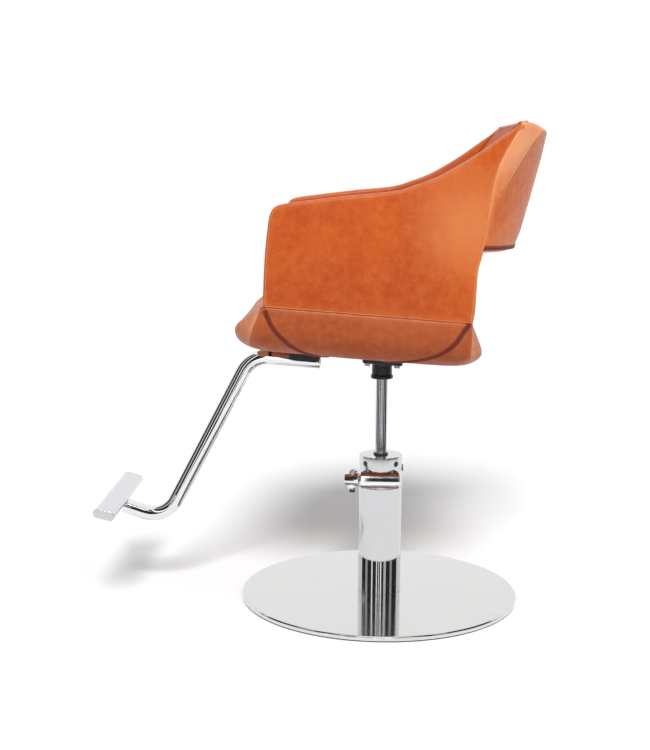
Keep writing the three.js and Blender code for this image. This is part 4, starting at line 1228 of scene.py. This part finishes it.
def gusset_edges():
    """The gusset's edge along the arms and the inner back, and its edge along the outer back."""
    foot = BACK_BOTTOM + 1
    side_z = np.linspace(foot, 540, 60)
    front_side = on_skin(tub_half, np.stack([rear_seam_y(side_z), side_z], 1))
    round_z = BACK_TOP - BACK_CORNER + BACK_CORNER * np.sin(np.linspace(0.1, 1.57, 20))
    rear_side = outer_back(1.0, np.concatenate([np.linspace(foot, 515, 40), round_z]))
    corner = np.array([(267, 234.5, 545.0), (258, 237, 548.6), (240, 237, 549.0)])
    middle = inner_back(np.linspace(0.9, -0.9, 60), INNER_TOP)
    over = np.vstack([front_side[-1:], corner, middle, other_side(corner), other_side(front_side[-1:])])
    ridge = smooth_curve(over, 120)
    crest = resampled(outer_back(np.linspace(1, -1, 90), BACK_TOP), np.linspace(0, 1, 120))
    return (np.vstack([front_side, ridge[1:-1], other_side(front_side)]),
            np.vstack([rear_side, crest[1:-1], other_side(rear_side)]))


def build_back():
    across = 1 - 2 * clustered(150, 0.35)
    outer_z = BACK_BOTTOM + (BACK_TOP - BACK_BOTTOM) * clustered(70)[:, None]
    outer = Panel(outer_back(across[None], outer_z), (0.5, 0.5, 0.4, 0.4), 4.0, flip=True)
    inner_z = INNER_BOTTOM + (INNER_TOP - INNER_BOTTOM) * clustered(50)[:, None]
    inner = Panel(inner_back(across[None], inner_z), (0.8, 0.6, 0.35, 0.35), 5.0)

    front_line, rear_line = gusset_edges()
    v = clustered(20)[None, :, None]
    strip = front_line[:, None] * (1 - v) + rear_line[:, None] * v
    flat = Panel(strip, (0, 0, 0, 0), flip=True)
    width = np.linalg.norm(front_line - rear_line, axis=1)[:, None, None]
    lift = 4 * v * (1 - v) * np.minimum(5.0, 0.1 * width)
    gusset = Panel(strip + flat.normal * lift, (0, 0, 0.35, 0.5), flip=True)

    v = clustered(16)[None, :, None]
    sole = outer.outer[0][:, None] * (1 - v) + inner.outer[0][:, None] * v
    sole[..., 2] -= (4 * v * (1 - v) * 7)[..., 0]
    sole = Panel(sole, (0, 0, 0.5, 0.5), flip=True)
    # The outer back, the gusset and the sole take the paler copies: painted light.
    leather_piece("backrest", [outer, inner, gusset, sole], [BACK, ORANGE, GUSSET, GUSSET],
                  ["backrest_pad"])
    share = np.linspace(0.995, -0.995, 90)
    piping("back_piping", [outer_back(share, z) + [0, 0.8, 0] for z in (287.0, 292.0)])
    return inner, gusset


def build_seams(arms, inner_back_panel, gusset, nose, end_seams):
    """Leather behind every seam, the fine raised edges standing in it, coloured pale as a painted highlight,
    and the thread beside it.
    """
    fill, edges, thread = [], [], []
    for arm in arms.values():
        outer = arm["outer"]
        ends = [shortened(arm[edge]) for edge in ("top_out", "top_in", "rear")]
        fill += list(zip(ends, (3.0, 3.0, 2.6))) + [(arm["low"], 2.4)]
        edges += ends
        thread += [outer.line(2, 2.8), shortened(outer.line(1, 3.4)), outer.line(0, 4.2)]
    rear = gusset.line(3, 0)
    fill += [(gusset.line(2, 0), 2.6), (rear, 3.0)]
    fill += [(inner_back_panel.line(side, 0), 3.2) for side in (1, 2, 3)]
    fill += [(seam, 2.0) for seam in end_seams]
    edges += [rear] + end_seams
    thread.append(gusset.line(3, 3.4))
    for number, (line, radius) in enumerate(fill, 1):
        seam_line(f"seam_backing_{number}", [line], radius, ORANGE, radius + 0.3)
    # The raised seam edges are coloured pale: a painted highlight along the seams.
    seam_line("seam_highlight_edges", edges, 0.7, SEAM_HIGHLIGHT, 0.3)
    seam_line("lower_seam", [arm["low"] for arm in arms.values()], 0.5, WELT, 0.0)
    dart = ((0.70, 0.405), (0.76, 0.42), (0.84, 0.415), (0.88, 0.39))
    darts = [surface_line(nose, [(u, 0.5 + side * v) for u, v in dart]) for side in (1, -1)]
    seam_line("nose_darts", darts, 0.8, SEAM_HIGHLIGHT, 0.1)
    stitches("stitching", thread)


# ---------------------------------------------------------------- stage, lights, camera
def build_stage():
    look = Look("studio_floor")
    tone = look.mix(look.noise(3, 2), (0.90, 0.90, 0.90), (0.93, 0.93, 0.93))
    white = look.finish(tone, 0.9, Specular_IOR_Level=0.0)
    reach, drop = 30, -0.001
    corners = [(-reach, -reach, drop), (reach, -reach, drop), (reach, reach, drop), (-reach, reach, drop)]
    added("floor", new_mesh("floor", corners, [[0, 1, 2, 3]], white))


def glowing(name, strength):
    """A plain light-giving material."""
    material = bpy.data.materials.new(name)
    material.use_nodes = True
    nodes = material.node_tree.nodes
    nodes.remove(nodes["Principled BSDF"])
    glow = nodes.new("ShaderNodeEmission")
    glow.inputs["Strength"].default_value = strength
    material.node_tree.links.new(glow.outputs[0], nodes["Material Output"].inputs[0])
    return material


def studio_screen(name, from_angle, to_angle, low, high, radius, material):
    """A curved screen round the chair that only shows in glossy reflections."""
    angles = np.radians(np.linspace(from_angle, to_angle, 24))
    points = [(radius * math.cos(a), radius * math.sin(a), z) for z in (low, high) for a in angles]
    count = len(angles)
    faces = [[i, i + 1, count + i + 1, count + i] for i in range(count - 1)]
    screen = added(name, new_mesh(name, points, faces, material))
    for ray in ("camera", "diffuse", "shadow", "transmission"):
        setattr(screen, f"visible_{ray}", False)


def build_studio():
    """Dark room round the set, with strip lights in it, seen only in glossy surfaces."""
    studio_screen("dark_screen", -105, 105, 0.0, 2.6, 1.50, glowing("dark_room", 0.03))
    strips = ((-72, 14, 0.5), (-39, 7, 1.3), (-14, 4, 1.7), (-3, 2.5, 1.7), (8, 5, 1.7), (29, 12, 0.8),
              (64, 12, 0.5))
    for number, (middle, width, strength) in enumerate(strips, 1):
        light = glowing(f"strip_light_{number}", strength)
        studio_screen(f"strip_{number}", middle - width / 2, middle + width / 2, 0.05, 2.4, 1.47, light)


def build_light():
    world = bpy.data.worlds.new("studio")
    bpy.context.scene.world = world
    world.use_nodes = True
    nodes, links = world.node_tree.nodes, world.node_tree.links
    background = nodes["Background"]
    background.inputs["Color"].default_value = (1, 1, 1, 1)
    path = nodes.new("ShaderNodeLightPath")
    level = nodes.new("ShaderNodeMapRange")
    level.inputs["To Min"].default_value = 1.02
    level.inputs["To Max"].default_value = 0.36
    links.new(path.outputs["Is Diffuse Ray"], level.inputs["Value"])
    links.new(level.outputs["Result"], background.inputs["Strength"])

    suns = (("soft_key", 3.1, 19, (-0.715, -0.03, -0.70)), ("fill", 0.6, 60, (-0.25, -0.75, -0.6)))
    for name, energy, angle, direction in suns:
        sun = bpy.data.lights.new(name, "SUN")
        sun.energy = energy
        sun.angle = math.radians(angle)
        light = added(name, sun)
        light.rotation_mode = "QUATERNION"
        light.rotation_quaternion = Vector(direction).to_track_quat("-Z", "Y")


def build_camera():
    data = bpy.data.cameras.new("camera")
    data.lens = 63.7
    data.sensor_width = 36
    camera = added("camera", data)
    look_along = Vector((-0.98646, -0.03790, -0.15955))
    roll = Matrix.Rotation(math.radians(0.42), 4, "Z").to_quaternion()
    camera.location = (2.98487, -0.01493, 0.99934)
    camera.rotation_mode = "QUATERNION"
    camera.rotation_quaternion = look_along.to_track_quat("-Z", "Y") @ roll
    bpy.context.scene.camera = camera
    bpy.context.scene.view_settings.view_transform = "Standard"


dress_cad_nodes()
build_base()
build_column()
build_head()
build_housing()
build_rod()
build_spring()
build_lever()
build_hub()
build_tube()
build_bar()
build_bracket()
arms = {name: build_arm(name, side) for name, side in SIDES}
build_lower_sides()
nose, nose_seams = build_end("nose", NOSE, NOSE_SEAM, True)
tail_seams = build_end("tail", TAIL, TAIL_SEAM, False)[1]
build_underside()
build_ledges()
build_side_piping()
build_cushion()
inner_back_panel, gusset = build_back()
build_seams(arms, inner_back_panel, gusset, nose, nose_seams + tail_seams)
build_stage()
build_studio()
build_light()
build_camera()
